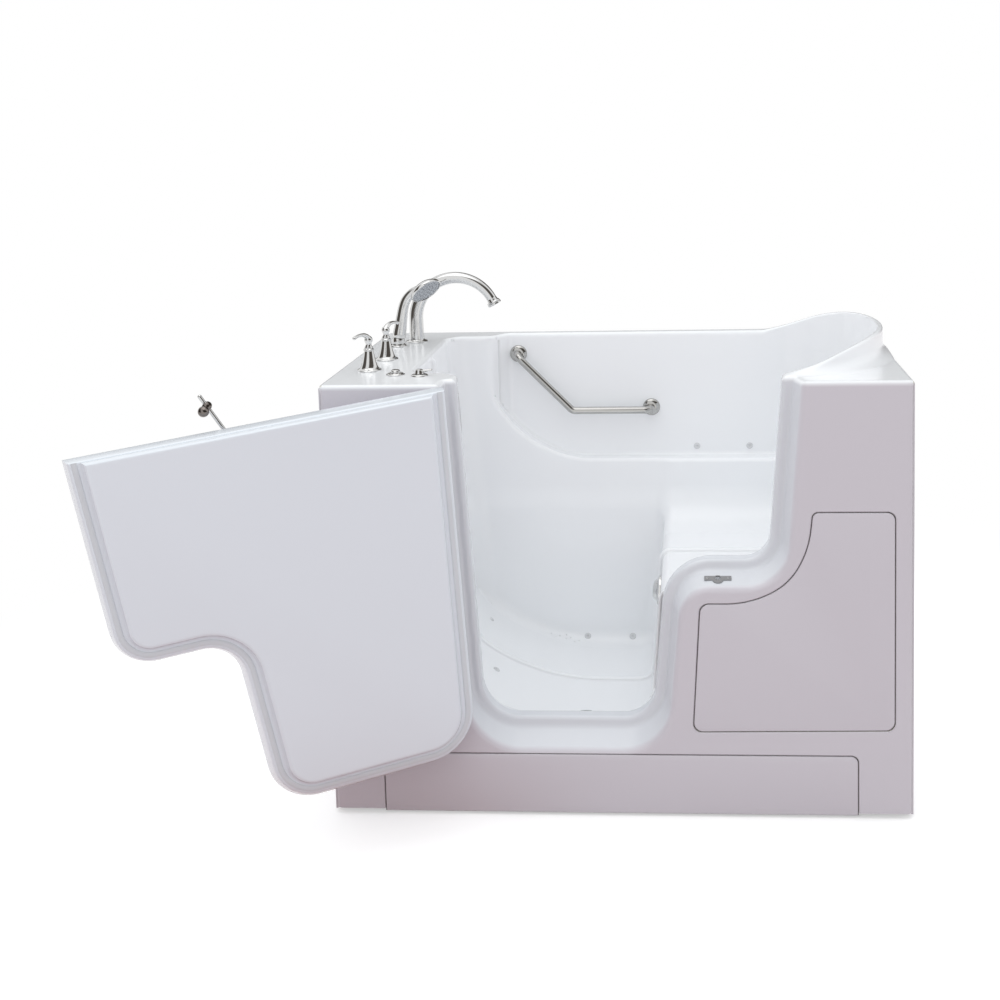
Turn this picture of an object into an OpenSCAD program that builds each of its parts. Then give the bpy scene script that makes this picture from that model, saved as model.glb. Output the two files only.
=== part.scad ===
// Walk-in bathtub with an outward-opening, L-shaped sealed door.
// X runs along the tub (door hinge towards -X, seat towards +X), Y runs from the
// front face to the wall side, and Z is up. The origin is on the floor, under the centre
// foot. The door stands open, as a bather leaves it before stepping in.

/* [Tub body] */
// Length of the tub
tub_l = 1346; // [1330:1:1380]
// Depth of the tub, from the front face to the wall
tub_w = 762; // [755:1:780]
// Height of the deck above the floor
deck_h = 1022; // [1010:1:1035]
// Wall thickness of the mouldings
shell_t = 8; // [6:1:9]
// Gap between the floor and the lower edge of the skirts
skirt_gap = 8; // [5:1:12]
// Height of the foot-well floor
well_z = 145; // [135:1:150]
// Height of the seat
seat_z = 500; // [490:1:510]
// Height of the arm ledge in the back wall
ledge_z = 677; // [665:1:690]

/* [Door] */
// Angle that the door stands open
door_open = 158; // [0:1:158]
// Thickness of the door slab, without its inner plug
door_t = 57; // [54:1:58]
// How far the inner plug stands proud of the slab
plug_t = 21; // [15:1:24]
// Depth of the recess that the slab closes into
recess_t = 60; // [58:1:64]
// Gap between the door's edge and the recess
door_gap = 4; // [3:0.5:5]
// Width of the stop face behind the door's edge
stop_w = 24; // [24:1:32]

/* [Hinge] */
// Height of the hinge's lower end
hinge_z = 250; // [220:5:300]
// Length of the hinge
hinge_l = 720; // [650:10:740]
// Radius of the hinge knuckles
knuckle_r = 4.5; // [4:0.1:5]
// Radius of the hinge pin
pin_r = 2.5; // [2:0.1:3]
// Radial running clearance in the moving fits
fit = 0.05; // [0.02:0.01:0.08]

/* [Taps] */
// Radius of the spout's arch, to its centre line
arch_r = 110; // [105:1:115]
// Height of the spout's straight stem
stem_h = 63; // [55:1:70]
// Radius of the tap flanges
flange_r = 29; // [26:0.5:30]
// Radius of the spray head
spray_r = 44; // [40:1:46]

/* [Hidden] */
$fn = 48;
fillet_steps = 6;
eps = 0.5;

front_y = -tub_w / 2;
back_y = tub_w / 2;
end_x = tub_l / 2;
deck_z = deck_h - shell_t;
cut_top = deck_h + 120;

// Door opening in the front face, as [x, z] corners from the top of the hinge side round to
// the top of the free side, with the corner radii and how far each edge leans inwards
// over the depth of the recess
opening_pts = [
    [-395.5, deck_h], [-346.7, 156.5], [112.2, 156.5], [148.7, 546.5], [387.1, 546.5], [424.8, deck_h]
];
opening_radii = [125, 107, 68, 95];
opening_lean = [5, 32, 16, 24, 16];
hinge_slope = (opening_pts[0].x - opening_pts[1].x) / (opening_pts[0].y - opening_pts[1].y);
hinge_tilt = atan(hinge_slope);
hinge_y = front_y - knuckle_r - 0.4;
hinge_inset = 6;
stop_y = front_y + recess_t;
slab_y = front_y + door_t;
plug_y = slab_y + plug_t;

// Basin outline in plan, and its side profile
basin_front = -282;
basin_left = -505;
lower_back = 285;
upper_back = 342;
head_c = [430, 30];
head_a = 210;
head_b = 312;
side_pts = [
    [-505, cut_top], [-430, 292], [-208, well_z], [72, well_z], [100, seat_z], [470, seat_z],
    [640, 960], [645, cut_top]
];
side_radii = [0, 70, 90, 45, 25, 80, 40, 0];
floor_fillet = 45;
bay_left = -385;
bay_radius = 300;
seat_joint_x = 112;

// Lip round the headrest
lip_t = 14;
lip_start = 405;
lip_rise_x = 610;
lip_z = 1092;

// Panels in the front moulding
panel_gap = 2.5;
panel_t = 5;
access_pts = [
    [172, 206], [629, 212], [629, 721], [447, 721], [438, 640], [395, 555], [300, 508], [191, 508]
];
access_radii = [20, 20, 18, 14, 220, 150, 220, 22];
kick_x = [-551, 546];
kick_z = [skirt_gap, 148];

// Frame
tube_w = 30;
tube_t = 2;
rail_z = 30;
rail_front = front_y + shell_t + 3 + tube_w / 2;
rail_back = back_y - 1 - tube_w / 2;
rail_x = end_x - 18;
cross_x = [-545, -280, 0, 280, 545];
seat_post_x = [200, 400];
seat_rail_top = seat_z - shell_t;
foot_r = 25;
foot_t = 10;
foot_stem_r = 6;
foot_pts = [[-545, -300], [545, -300], [-545, 300], [545, 300], [0, 0]];

// Deck fittings, as [x, y]
hot_at = [-595, -194];
cold_at = [-585, -47];
spout_at = [-560, 222];
shower_at = [-598, 150];
button_at = [-519, -254];
knob_at = [-459, -268];
hot_angle = 244;
cold_angle = 66;
valve_shank_r = 15;
spout_shank_r = 13;
shower_tilt = 10;
shower_bore_r = 12;
deck_hole_gap = 1;

// Drain, overflow and air system
drain_at = [-90, -180];
drain_r = 36;
waste_r = 24.13;
waste_bore_r = 20.45;
waste_z = 94;
waste_stub = 60;
overflow_at = [-60, 428];
riser_lean = atan((side_pts[4].x - side_pts[3].x) / (seat_z - well_z));
riser_x = side_pts[3].x;
ramp_lean = atan((side_pts[1].y - side_pts[2].y) / (side_pts[2].x - side_pts[1].x));
jet_r = 9;
jet_stem_r = 5;
low_jets = [[-236, 180], [-118, 172], [8, 172]];
low_jet_reach = floor_fillet - 1;
blower_at = [420, -60];
blower_r = 85;
blower_h = 170;

// Latch, in the closed door's place
latch_at = [65, 964];
latch_lean = 25.5;
lever_y = front_y - 19;
lever_l = 149;
lever_r = 4.5;
knob_along = 118;
knob_offset = [9, 25, -5];
bolt_x = 232;
bolt_y = -350;
bolt_r = 5;

// ---------------------------------------------------------------- outlines

function cross2(a, b) = a.x * b.y - a.y * b.x;
function unit(v) = v / norm(v);
function wrap(i, n) = (i + n) % n;

// Where the line through p along d meets the line through q along e
function meet(p, d, q, e) = p + d * cross2(q - p, e) / cross2(d, e);

// A counter-clockwise outline with each edge moved inwards by its own distance
function inset(pts, by) =
    let (n = len(pts),
         d = [for (i = [0:n - 1]) unit(pts[wrap(i + 1, n)] - pts[i])],
         p = [for (i = [0:n - 1]) pts[i] + by[i] * [-d[i].y, d[i].x]])
    [for (i = [0:n - 1]) meet(p[wrap(i - 1, n)], d[wrap(i - 1, n)], p[i], d[i])];

// The arc that rounds corner b between a and c
function corner_arc(a, b, c, r) =
    let (u = unit(a - b), v = unit(c - b), half = acos(u * v) / 2,
         centre = b + unit(u + v) * r / sin(half),
         from = b + u * r / tan(half) - centre, to = b + v * r / tan(half) - centre,
         start = atan2(from.y, from.x),
         turn = (atan2(to.y, to.x) - start + 540) % 360 - 180)
    [for (k = [0:fillet_steps])
        centre + r * [cos(start + turn * k / fillet_steps), sin(start + turn * k / fillet_steps)]];

function rounded(pts, radii) =
    let (n = len(pts))
    [for (i = [0:n - 1])
        each radii[i] == 0 ? [pts[i]]
            : corner_arc(pts[wrap(i - 1, n)], pts[i], pts[wrap(i + 1, n)], radii[i])];

// The door opening's outline at a depth behind the front face, drawn in by `gap`
function opening_outline(depth, gap = 0, top = cut_top) =
    let (by = [for (lean = opening_lean) lean * depth / recess_t + gap],
         far = concat(by, [deck_h - top]),
         mean = gap + depth / 4)
    rounded(inset(opening_pts, far), [
        0, opening_radii[0] - mean, opening_radii[1] - mean, opening_radii[2] + mean,
        opening_radii[3] - mean, 0
    ]);

// A solid skinned over rings of the same number of points. Seen from outside its first end,
// each ring runs counter-clockwise, and its first point sees all the others
module skin(rings) {
    n = len(rings[0]);
    last = len(rings) - 1;
    points = [for (ring = rings) each ring];
    sides = [for (k = [0:last - 1]) for (i = [0:n - 1])
        let (a = k * n + i, b = k * n + wrap(i + 1, n)) each [[a, b, b + n], [a, b + n, a + n]]];
    first_end = concat([0], [for (i = [n - 1:-1:1]) i]);
    last_end = [for (i = [0:n - 1]) last * n + i];
    polyhedron(points, concat([first_end], sides, [last_end]));
}

// A solid between [x, z] outlines that lie in planes of constant y
module loft_y(outlines, ys) {
    skin([for (k = [0:len(outlines) - 1]) [for (p = outlines[k]) [p.x, ys[k], p.y]]]);
}

// An [x, z] outline carried from one y to another
module slab(y0, y1) {
    translate([0, y1, 0]) rotate([90, 0, 0]) linear_extrude(y1 - y0) children();
}

// A round bar between two points
module bar(from, to, r) {
    v = to - from;
    translate(from) rotate([0, acos(v.z / norm(v)), atan2(v.y, v.x)]) cylinder(r = r, h = norm(v));
}

// Quarter-round bend at `corner`, from direction u into direction v
module elbow(corner, u, v, bend_r, r) {
    turn = acos(u * v);
    n = unit(v - u * (u * v));
    w = cross(u, n);
    c = corner - u * bend_r * tan(turn / 2) + n * bend_r;
    multmatrix([
        [-n.x, u.x, w.x, c.x], [-n.y, u.y, w.y, c.y], [-n.z, u.z, w.z, c.z], [0, 0, 0, 1]
    ]) rotate_extrude(angle = turn) translate([bend_r, 0]) circle(r = r);
}

// A round bar along a path, with a bend at each inner point; its straights reach just
// inside the bends
module bent_bar(pts, bend_r, r) {
    last = len(pts) - 1;
    d = [for (i = [0:last - 1]) unit(pts[i + 1] - pts[i])];
    cut = [for (i = [0:last]) i == 0 || i == last ? 0 : bend_r * tan(acos(d[i - 1] * d[i]) / 2) - 0.4];
    for (i = [0:last - 1]) bar(pts[i] + d[i] * cut[i], pts[i + 1] - d[i] * cut[i + 1], r - 0.02);
    for (i = [1:last - 1]) elbow(pts[i], d[i - 1], d[i], bend_r, r);
}

// A square tube whose wall is cut away along the axis where `wall` is negative
module hollow_tube(size, wall) {
    difference() {
        cube(size);
        translate(wall) cube(size - 2 * wall);
    }
}

// ---------------------------------------------------------------- tub mouldings

function ellipse_half(grow) = [for (t = [-90:9:90])
    head_c + [(head_a + grow) * cos(t), (head_b + grow) * sin(t)]];

// Basin in plan, with its walls moved out by `grow`
module basin_plan(grow, back) {
    left = basin_left - grow;
    front = basin_front - grow;
    intersection() {
        polygon(rounded(concat(
            [[left, back + grow], [left, -225 - grow], [-400, -225 - grow], [-355, front]],
            ellipse_half(grow)
        ), concat([60, 50, 30, 30], [for (t = [-90:9:90]) 0])));
        translate([-end_x, front]) square([tub_l, back + grow - front]);
    }
}

// Room inside the basin, with its walls moved out by `grow`
module basin_room(grow, top) {
    profile = rounded(inset(side_pts, [for (p = side_pts) -grow]), side_radii);
    floor_z = well_z - grow;
    section = rounded([
        [basin_front - grow, top], [basin_front - grow, floor_z], [lower_back + grow, floor_z],
        [lower_back + grow, top]
    ], [0, floor_fillet, floor_fillet, 0]);
    intersection() {
        slab(-tub_w, tub_w) polygon(profile);
        translate([-end_x, 0, 0]) rotate([90, 0, 90]) linear_extrude(tub_l) polygon(section);
        linear_extrude(top) basin_plan(grow, lower_back);
    }
    // Bay behind the arm ledge
    bay = [
        [bay_left - grow, top], [bay_left - grow, ledge_z - grow], [end_x, ledge_z - grow], [end_x, top]
    ];
    intersection() {
        slab(0, tub_w) polygon(rounded(bay, [0, bay_radius, 0, 0]));
        slab(-tub_w, tub_w) polygon(profile);
        linear_extrude(top) basin_plan(grow, upper_back);
    }
}

// Raised lip round the headrest
module headrest_lip() {
    intersection() {
        linear_extrude(cut_top) difference() {
            intersection() {
                polygon(concat([[lip_start - 60, head_c.y]], ellipse_half(lip_t)));
                translate([lip_start, -tub_w / 2]) square([tub_l, tub_w]);
            }
            polygon(concat([[lip_start - 80, head_c.y]], ellipse_half(0)));
        }
        slab(-tub_w, tub_w) polygon([
            [lip_start, deck_h - shell_t], [end_x, deck_h - shell_t], [end_x, lip_z],
            [lip_rise_x, lip_z - 4], [lip_start, deck_h]
        ]);
    }
}

// Way through the front wall for the bather
module doorway() {
    edge = opening_outline(recess_t);
    throat = opening_outline(recess_t, stop_w, cut_top - 20);
    loft_y(
        [opening_outline(-2), edge, throat, throat],
        [front_y - 2, stop_y, stop_y, basin_front + 2 * shell_t]
    );
}

// A low jet at [x, z], set square to the fillet under the back wall
function low_jet(p) =
    let (lean = asin((well_z + floor_fillet - p.y) / low_jet_reach))
    [[p.x, lower_back - floor_fillet + low_jet_reach * cos(lean), p.y], [90 - lean, 0, 0]];

// Where each air jet sits: its place and the turn that points it into the basin
jets = concat(
    [for (p = low_jets) low_jet(p)],
    [for (x = [195, 341]) [[x, upper_back, ledge_z + 22], [90, 0, 0]]],
    [for (p = [[-376, 185], [-326, -75]])
        [[p.x, p.y, side_pts[2].y + (side_pts[2].x - p.x) * tan(ramp_lean)], [0, ramp_lean, 0]]],
    [for (z = [220, 285, 455]) [[riser_x + (z - well_z) * tan(riser_lean), 120, z], [0, riser_lean - 90, 0]]]
);

module at_jets() {
    for (j = jets) translate(j[0]) rotate(j[1]) children();
}

module at_overflow() {
    translate([riser_x + (overflow_at.y - well_z) * tan(riser_lean), overflow_at.x, overflow_at.y])
        rotate([0, riser_lean - 90, 0]) children();
}

module deck_hole(at, r) {
    translate([at.x, at.y, deck_z - 40]) cylinder(r = r, h = 80);
}

// All that is open in the deck and the basin: the room for the bather, the way in, and the
// holes of the fittings
module shell_cuts() {
    basin_room(0, cut_top);
    doorway();
    at_jets() translate([0, 0, -30]) cylinder(r = jet_stem_r + 0.2, h = 60);
    at_overflow() translate([0, 0, -40]) cylinder(r = 24, h = 80);
    translate([drain_at.x, drain_at.y, well_z - 30]) cylinder(r = waste_r + deck_hole_gap, h = 60);
    deck_hole(hot_at, valve_shank_r + deck_hole_gap);
    deck_hole(cold_at, valve_shank_r + deck_hole_gap);
    deck_hole(spout_at, spout_shank_r + deck_hole_gap);
    deck_hole(shower_at, 20);
    deck_hole(button_at, 14 + deck_hole_gap);
    deck_hole(knob_at, 8 + deck_hole_gap);
}

// Deck with the headrest's lip
module deck_moulding() color("#f4f5f7")
    difference() {
        union() {
            translate([-end_x, front_y, deck_z]) cube([tub_l, tub_w, shell_t]);
            headrest_lip();
        }
        shell_cuts();
    }

// Foot well with the wall in front of the bather
module basin_moulding() color("#f4f5f7")
    difference() {
        basin_room(shell_t, deck_z);
        shell_cuts();
        translate([seat_joint_x, -tub_w, 0]) cube([tub_l, 2 * tub_w, tub_l]);
    }

// Seat with the walls round the bather's back
module seat_moulding() color("#f4f5f7")
    difference() {
        basin_room(shell_t, deck_z);
        shell_cuts();
        translate([seat_joint_x - tub_l, -tub_w, 0]) cube([tub_l, 2 * tub_w, tub_l]);
    }

module access_outline(grow) {
    polygon(rounded(inset(access_pts, [for (p = access_pts) -grow]), access_radii));
}

module kick_outline(grow) {
    polygon(rounded([
        [kick_x[0] - grow, kick_z[0] - grow], [kick_x[1] + grow, kick_z[0] - grow],
        [kick_x[1] + grow, kick_z[1] + grow], [kick_x[0] - grow, kick_z[1] + grow]
    ], [0, 0, 16, 16]));
}

// Front skirt with the recessed frame of the door
module front_moulding() color("#e9e8ec") {
    lip = opening_outline(recess_t, -shell_t, deck_z);
    throat = opening_outline(recess_t, stop_w - shell_t, deck_z - 1);
    difference() {
        union() {
            translate([-end_x, front_y, skirt_gap]) cube([tub_l, shell_t, deck_z - skirt_gap]);
            loft_y(
                [opening_outline(1, -shell_t, deck_z), lip, lip, throat, throat],
                [front_y + 1, stop_y, stop_y + shell_t, stop_y + shell_t, basin_front - shell_t]
            );
        }
        doorway();
        slab(front_y - 5, front_y + 20) access_outline(panel_gap);
        slab(front_y - 5, front_y + 20) kick_outline(panel_gap);
        translate([bolt_x, bolt_y, 500]) cylinder(r = bolt_r + 1.5, h = 100);
    }
}

module left_end_panel() color("#eceef1")
    translate([-end_x, front_y + shell_t, skirt_gap]) cube([panel_t, tub_w - shell_t, deck_z - skirt_gap]);

module right_end_panel() color("#eceef1")
    translate([end_x - panel_t, front_y + shell_t, skirt_gap])
        cube([panel_t, tub_w - shell_t, deck_z - skirt_gap]);

module access_panel() color("#e6e4e9") slab(front_y, front_y + panel_t) access_outline(0);

module kick_panel() color("#e6e4e9") slab(front_y, front_y + panel_t) kick_outline(0);

// Spring clips behind the two front panels
module panel_clips() color("#9aa0a6") {
    for (at = [[260, 208], [420, 210], [560, 212]]) clip([at.x, at.y - panel_gap]);
    for (x = [500, 580]) mirrored_clip([x, 720 + panel_gap]);
    for (x = [-450, 180, 450]) mirrored_clip([x, kick_z[1] + panel_gap]);
}

module clip(at) {
    translate([at.x - 10, front_y + shell_t, at.y - 20]) cube([20, 2, 44]);
    translate([at.x - 10, front_y + panel_t, at.y + 5]) cube([20, shell_t - panel_t, 19]);
}

module mirrored_clip(at) {
    translate([at.x - 10, front_y + shell_t, at.y - 24]) cube([20, 2, 44]);
    translate([at.x - 10, front_y + panel_t, at.y - 24]) cube([20, shell_t - panel_t, 19]);
}

// ---------------------------------------------------------------- frame and feet

// A square steel tube with one corner at `at`
module steel_tube(at, size, along) {
    wall = [along == 0 ? -1 : tube_t, along == 1 ? -1 : tube_t, along == 2 ? -1 : tube_t];
    translate(at) hollow_tube(size, wall);
}

module frame_rails() color("#5c6166") {
    for (y = [rail_front, rail_back])
        steel_tube([-rail_x, y - tube_w / 2, rail_z], [2 * rail_x, tube_w, tube_w], 0);
    steel_tube([-rail_x + tube_w, rail_back - tube_w / 2, deck_z - tube_w],
        [2 * (rail_x - tube_w), tube_w, tube_w], 0);
}

module frame_cross_tubes() color("#5c6166") {
    inner = [rail_front + tube_w / 2, rail_back - tube_w / 2];
    difference() {
        for (x = cross_x)
            steel_tube([x - tube_w / 2, inner[0], rail_z], [tube_w, inner[1] - inner[0], tube_w], 1);
        at_feet() translate([0, 0, rail_z - 1]) cylinder(r = foot_stem_r + 0.25, h = tube_w + 2);
    }
    for (x = seat_post_x)
        steel_tube([x - tube_w / 2, inner[0], seat_rail_top - tube_w],
            [tube_w, inner[1] - inner[0], tube_w], 1);
}

module frame_posts() color("#5c6166") {
    base = rail_z + tube_w;
    for (x = [-rail_x, rail_x - tube_w], y = [rail_front, rail_back])
        steel_tube([x, y - tube_w / 2, base], [tube_w, tube_w, deck_z - base], 2);
    for (x = seat_post_x, y = [rail_front, rail_back])
        steel_tube([x - tube_w / 2, y - tube_w / 2, base], [tube_w, tube_w, seat_rail_top - base], 2);
}

module at_feet() {
    for (p = foot_pts) translate(p) children();
}

module levelling_feet() color("#3a3d40")
    at_feet() {
        cylinder(r = foot_r, h = foot_t);
        translate([0, 0, foot_t]) cylinder(r = foot_stem_r, h = 66);
    }

module foot_lock_nuts() color("#b8bcc0")
    at_feet() translate([0, 0, rail_z - 8]) difference() {
        cylinder(r = 11, h = 8, $fn = 6);
        translate([0, 0, -1]) cylinder(r = foot_stem_r + 0.1, h = 10);
    }

// ---------------------------------------------------------------- grab bar

bar_r = 10;
bar_y = 300;
bar_ends = [[-299, upper_back, 965], [70, upper_back, 811]];

module grab_bar() color("#d9dcdf")
    bent_bar([
        bar_ends[0] - [0, 3, 0], [bar_ends[0].x, bar_y, bar_ends[0].z], [-148, bar_y, bar_ends[1].z],
        [bar_ends[1].x, bar_y, bar_ends[1].z], bar_ends[1] - [0, 3, 0]
    ], 20, bar_r);

module grab_bar_flanges() color("#d9dcdf")
    for (p = bar_ends)
        translate(p) rotate([90, 0, 0]) difference() {
            cylinder(r = 24, h = 10);
            translate([0, 0, 3]) cylinder(r = bar_r + 0.1, h = 10);
        }

// ---------------------------------------------------------------- air, drain and overflow

module air_jets() color("#e8eaec")
    at_jets() {
        cylinder(r = jet_r, h = 3);
        translate([0, 0, -26]) cylinder(r = jet_stem_r, h = 26);
    }

module air_manifold() color("#eceff1") {
    z = rail_z + tube_w + 4 + blower_h + 60;
    difference() {
        union() {
            bar([blower_at.x, blower_at.y - 150, z], [blower_at.x, blower_at.y + 150, z], 26);
            translate([blower_at.x, blower_at.y, z - 50]) cylinder(r = 22, h = 40);
            for (y = [-120:60:120], side = [-1, 1])
                bar([blower_at.x + side * 20, blower_at.y + y, z],
                    [blower_at.x + side * 48, blower_at.y + y, z], 6);
        }
        bar([blower_at.x, blower_at.y - 146, z], [blower_at.x, blower_at.y + 146, z], 22);
    }
}

module air_blower() color("#d4d7da")
    translate([blower_at.x, blower_at.y, rail_z + tube_w + 4]) {
        cylinder(r = blower_r, h = blower_h * 0.6);
        translate([0, 0, blower_h * 0.6]) cylinder(r = blower_r * 0.75, h = blower_h * 0.4);
        translate([0, 0, blower_h]) cylinder(r = 22, h = 10);
    }

module blower_plate() color("#8d9398")
    translate([cross_x[3] - 10, blower_at.y - 110, rail_z + tube_w]) cube([300, 220, 4]);

module overflow_cover() color("#cfd3d7")
    at_overflow() {
        cylinder(r1 = 38, r2 = 34, h = 8);
        translate([0, 0, 8]) cylinder(r1 = 30, r2 = 22, h = 12);
    }

// Pipe from the overflow, behind the riser, down to the waste pipe
module overflow_pipe() color("#f0f0ee") {
    drop = [150, overflow_at.x];
    difference() {
        union() {
            at_overflow() translate([0, 0, -44]) cylinder(r = 22, h = 44);
            translate([drop.x, drop.y, waste_z]) cylinder(r = 20, h = overflow_at.y - waste_z);
            translate([drop.x, drop.y, overflow_at.y]) sphere(r = 22);
            translate([drop.x, drop.y, waste_z]) sphere(r = 20);
            bar([drain_at.x + waste_r - 1, drop.y, waste_z], [drop.x, drop.y, waste_z], 20);
        }
        translate([drop.x, drop.y, waste_z]) cylinder(r = 17, h = overflow_at.y - waste_z);
        bar([drain_at.x, drop.y, waste_z], [drop.x, drop.y, waste_z], 17);
        translate([drain_at.x, front_y, waste_z]) rotate([-90, 0, 0]) cylinder(r = waste_r + 0.1, h = tub_w);
    }
}

module drain_flange() color("#cfd3d7")
    translate([drain_at.x, drain_at.y, well_z]) difference() {
        union() {
            cylinder(r1 = drain_r, r2 = drain_r - 3, h = 3);
            translate([0, 0, -28]) cylinder(r = waste_bore_r - 0.1, h = 28);
        }
        translate([0, 0, -30]) cylinder(r = 17, h = 40);
        translate([0, 0, 1]) cylinder(r1 = 22, r2 = 30, h = 3);
    }

// Lift plug, down in its seat
module drain_stopper() color("#cfd3d7")
    translate([drain_at.x, drain_at.y, well_z]) {
        translate([0, 0, 3.4]) cylinder(r1 = 27, r2 = 24, h = 5);
        translate([0, 0, -20]) cylinder(r = 4, h = 24);
        translate([0, 0, -20]) cylinder(r = 12, h = 3);
    }

module waste_pipe() color("#f0f0ee")
    difference() {
        union() {
            translate([drain_at.x, drain_at.y, waste_z]) cylinder(r = waste_r, h = well_z - shell_t - waste_z);
            translate([drain_at.x, drain_at.y, waste_z]) sphere(r = waste_r);
            translate([drain_at.x, drain_at.y, waste_z]) rotate([-90, 0, 0])
                cylinder(r = waste_r, h = back_y - drain_at.y);
            translate([drain_at.x, back_y - waste_stub - 40, waste_z]) rotate([-90, 0, 0])
                cylinder(r = waste_r + 3, h = 40);
        }
        translate([drain_at.x, drain_at.y, waste_z]) cylinder(r = waste_bore_r, h = 80);
        translate([drain_at.x, drain_at.y, waste_z]) rotate([-90, 0, 0]) cylinder(r = waste_bore_r, h = tub_w);
        bar([drain_at.x, overflow_at.x, waste_z], [drain_at.x + 60, overflow_at.x, waste_z], 17);
    }

// ---------------------------------------------------------------- spout and valves

// Tapering arch of the spout, swept along a circle
spout_steps = 22;
spout_sides = 20;
spout_end = 28;
spout_base_r = 18.5;
spout_tip_r = 13;

function spout_ring(k) =
    let (a = 180 - (180 - spout_end) * k / spout_steps,
         r = spout_base_r + (spout_tip_r - spout_base_r) * sqrt(k / spout_steps),
         centre = [spout_at.x + arch_r, deck_h + stem_h])
    [for (s = [0:spout_sides - 1])
        let (b = 360 * s / spout_sides, p = centre + (arch_r + r * cos(b)) * [cos(a), sin(a)])
        [p.x, spout_at.y + r * sin(b), p.y]];

module spout() color("#d5d9dd") {
    translate([spout_at.x, spout_at.y, deck_h + 8]) cylinder(r = spout_base_r, h = stem_h - 7.5);
    skin([for (k = [0:spout_steps]) spout_ring(k)]);
}

module spout_flange() color("#d5d9dd")
    translate([spout_at.x, spout_at.y, deck_h]) cylinder(r1 = flange_r, r2 = 22, h = 8);

// Flared outlet on the end of the arch
module spout_aerator() color("#c9cdd1")
    translate([
        spout_at.x + arch_r + arch_r * cos(spout_end), spout_at.y,
        deck_h + stem_h + arch_r * sin(spout_end)
    ]) rotate([0, 180 - spout_end, 0]) difference() {
        union() {
            cylinder(r1 = spout_tip_r + 1, r2 = 19, h = 12);
            translate([0, 0, 12]) cylinder(r = 19, h = 6);
        }
        translate([0, 0, 10]) cylinder(r = 12, h = 20);
    }

module spout_shank() color("#b08d57")
    translate([spout_at.x, spout_at.y, deck_z - 52]) cylinder(r = spout_shank_r, h = 52 + shell_t);

module deck_nut(at, bore_r, r) {
    translate([at.x, at.y, deck_z - 10]) difference() {
        cylinder(r = r, h = 10, $fn = 6);
        translate([0, 0, -1]) cylinder(r = bore_r + 0.1, h = 12);
    }
}

module deck_nuts() color("#b08d57") {
    deck_nut(hot_at, valve_shank_r, 26);
    deck_nut(cold_at, valve_shank_r, 26);
    deck_nut(spout_at, spout_shank_r, 24);
    deck_nut(shower_at, 21, 30);
    deck_nut(button_at, 14, 22);
    deck_nut(knob_at, 8, 15);
}

// Quarter-turn valve: threaded shank in the deck, side outlet, and an inlet below
module valve_body(at) {
    translate([at.x, at.y, 0]) difference() {
        union() {
            translate([0, 0, deck_z - 50]) cylinder(r = valve_shank_r, h = 50 + shell_t);
            translate([0, 0, deck_z - 90]) cylinder(r = 18, h = 40);
            translate([0, 0, deck_z - 120]) cylinder(r = 10.45, h = 30);
        }
        translate([0, 0, deck_z - 60]) cylinder(r = 6 + fit, h = 80);
        translate([0, 0, deck_z - 121]) cylinder(r = 7, h = 40);
    }
}

module hot_valve_body() color("#b08d57") valve_body(hot_at);
module cold_valve_body() color("#b08d57") valve_body(cold_at);

// Copper pipes from the two valves to the spout
module mixing_pipes() color("#b87333") {
    z = deck_z - 70;
    side = hot_at.x - 28;
    difference() {
        union() {
            bent_bar([
                [hot_at.x, hot_at.y, z], [side, hot_at.y, z], [side, spout_at.y, z],
                [spout_at.x, spout_at.y, z], [spout_at.x, spout_at.y, z + 26]
            ], 14, 8);
            bar([side, cold_at.y, z], [cold_at.x, cold_at.y, z], 7);
        }
        for (at = [hot_at, cold_at]) translate([at.x, at.y, z - 20]) cylinder(r = 18.1, h = 40);
        translate([spout_at.x, spout_at.y, z + 18]) cylinder(r = spout_shank_r + 0.1, h = 20);
    }
}

// Bell-shaped cover round a valve
module escutcheon(at) {
    translate([at.x, at.y, deck_h]) rotate_extrude() difference() {
        polygon([[0, 0], [flange_r, 0], [flange_r, 3], [22, 6], [17, 14], [13, 30], [10.5, 54], [0, 54]]);
        translate([-1, -1]) square([7 + 1, 60]);
    }
}

module valve_escutcheons() color("#cfd3d7") {
    escutcheon(hot_at);
    escutcheon(cold_at);
}

// Curved lever on a spindle that turns in the valve
module valve_handle(at, angle) {
    translate([at.x, at.y, deck_h]) {
        translate([0, 0, -50]) cylinder(r = 6, h = 105);
        rotate_extrude() polygon([[0, 54.5], [10, 54.5], [8, 60], [8, 66], [10.5, 70], [9, 78], [0, 80]]);
        rotate([0, 0, angle]) {
            bent_bar([[0, 0, 72], [26, 0, 86], [50, 0, 86]], 18, 4.5);
            translate([50, 0, 86]) sphere(r = 5.5);
        }
    }
}

module hot_handle() color("#cfd3d7") valve_handle(hot_at, hot_angle);
module cold_handle() color("#cfd3d7") valve_handle(cold_at, cold_angle);

// ---------------------------------------------------------------- hand shower

module at_shower() {
    translate([shower_at.x, shower_at.y, deck_h]) rotate([0, shower_tilt, 0]) children();
}

spray_normal_tilt = 135.6;
spray_turn = -35;
spray_at = [78, 0, 152];

module at_spray() {
    translate([shower_at.x, shower_at.y, deck_h] + spray_at)
        rotate([0, 0, spray_turn]) rotate([0, spray_normal_tilt, 0]) children();
}

module shower_holder() color("#cfd3d7")
    difference() {
        union() {
            translate([shower_at.x, shower_at.y, deck_h]) cylinder(r1 = 24, r2 = 22, h = 6);
            at_shower() translate([0, 0, 2]) cylinder(r = 16, h = 22);
            at_shower() translate([0, 0, -60]) cylinder(r = 15, h = 62);
        }
        at_shower() translate([0, 0, -70]) cylinder(r = shower_bore_r + fit, h = 120);
    }

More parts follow.
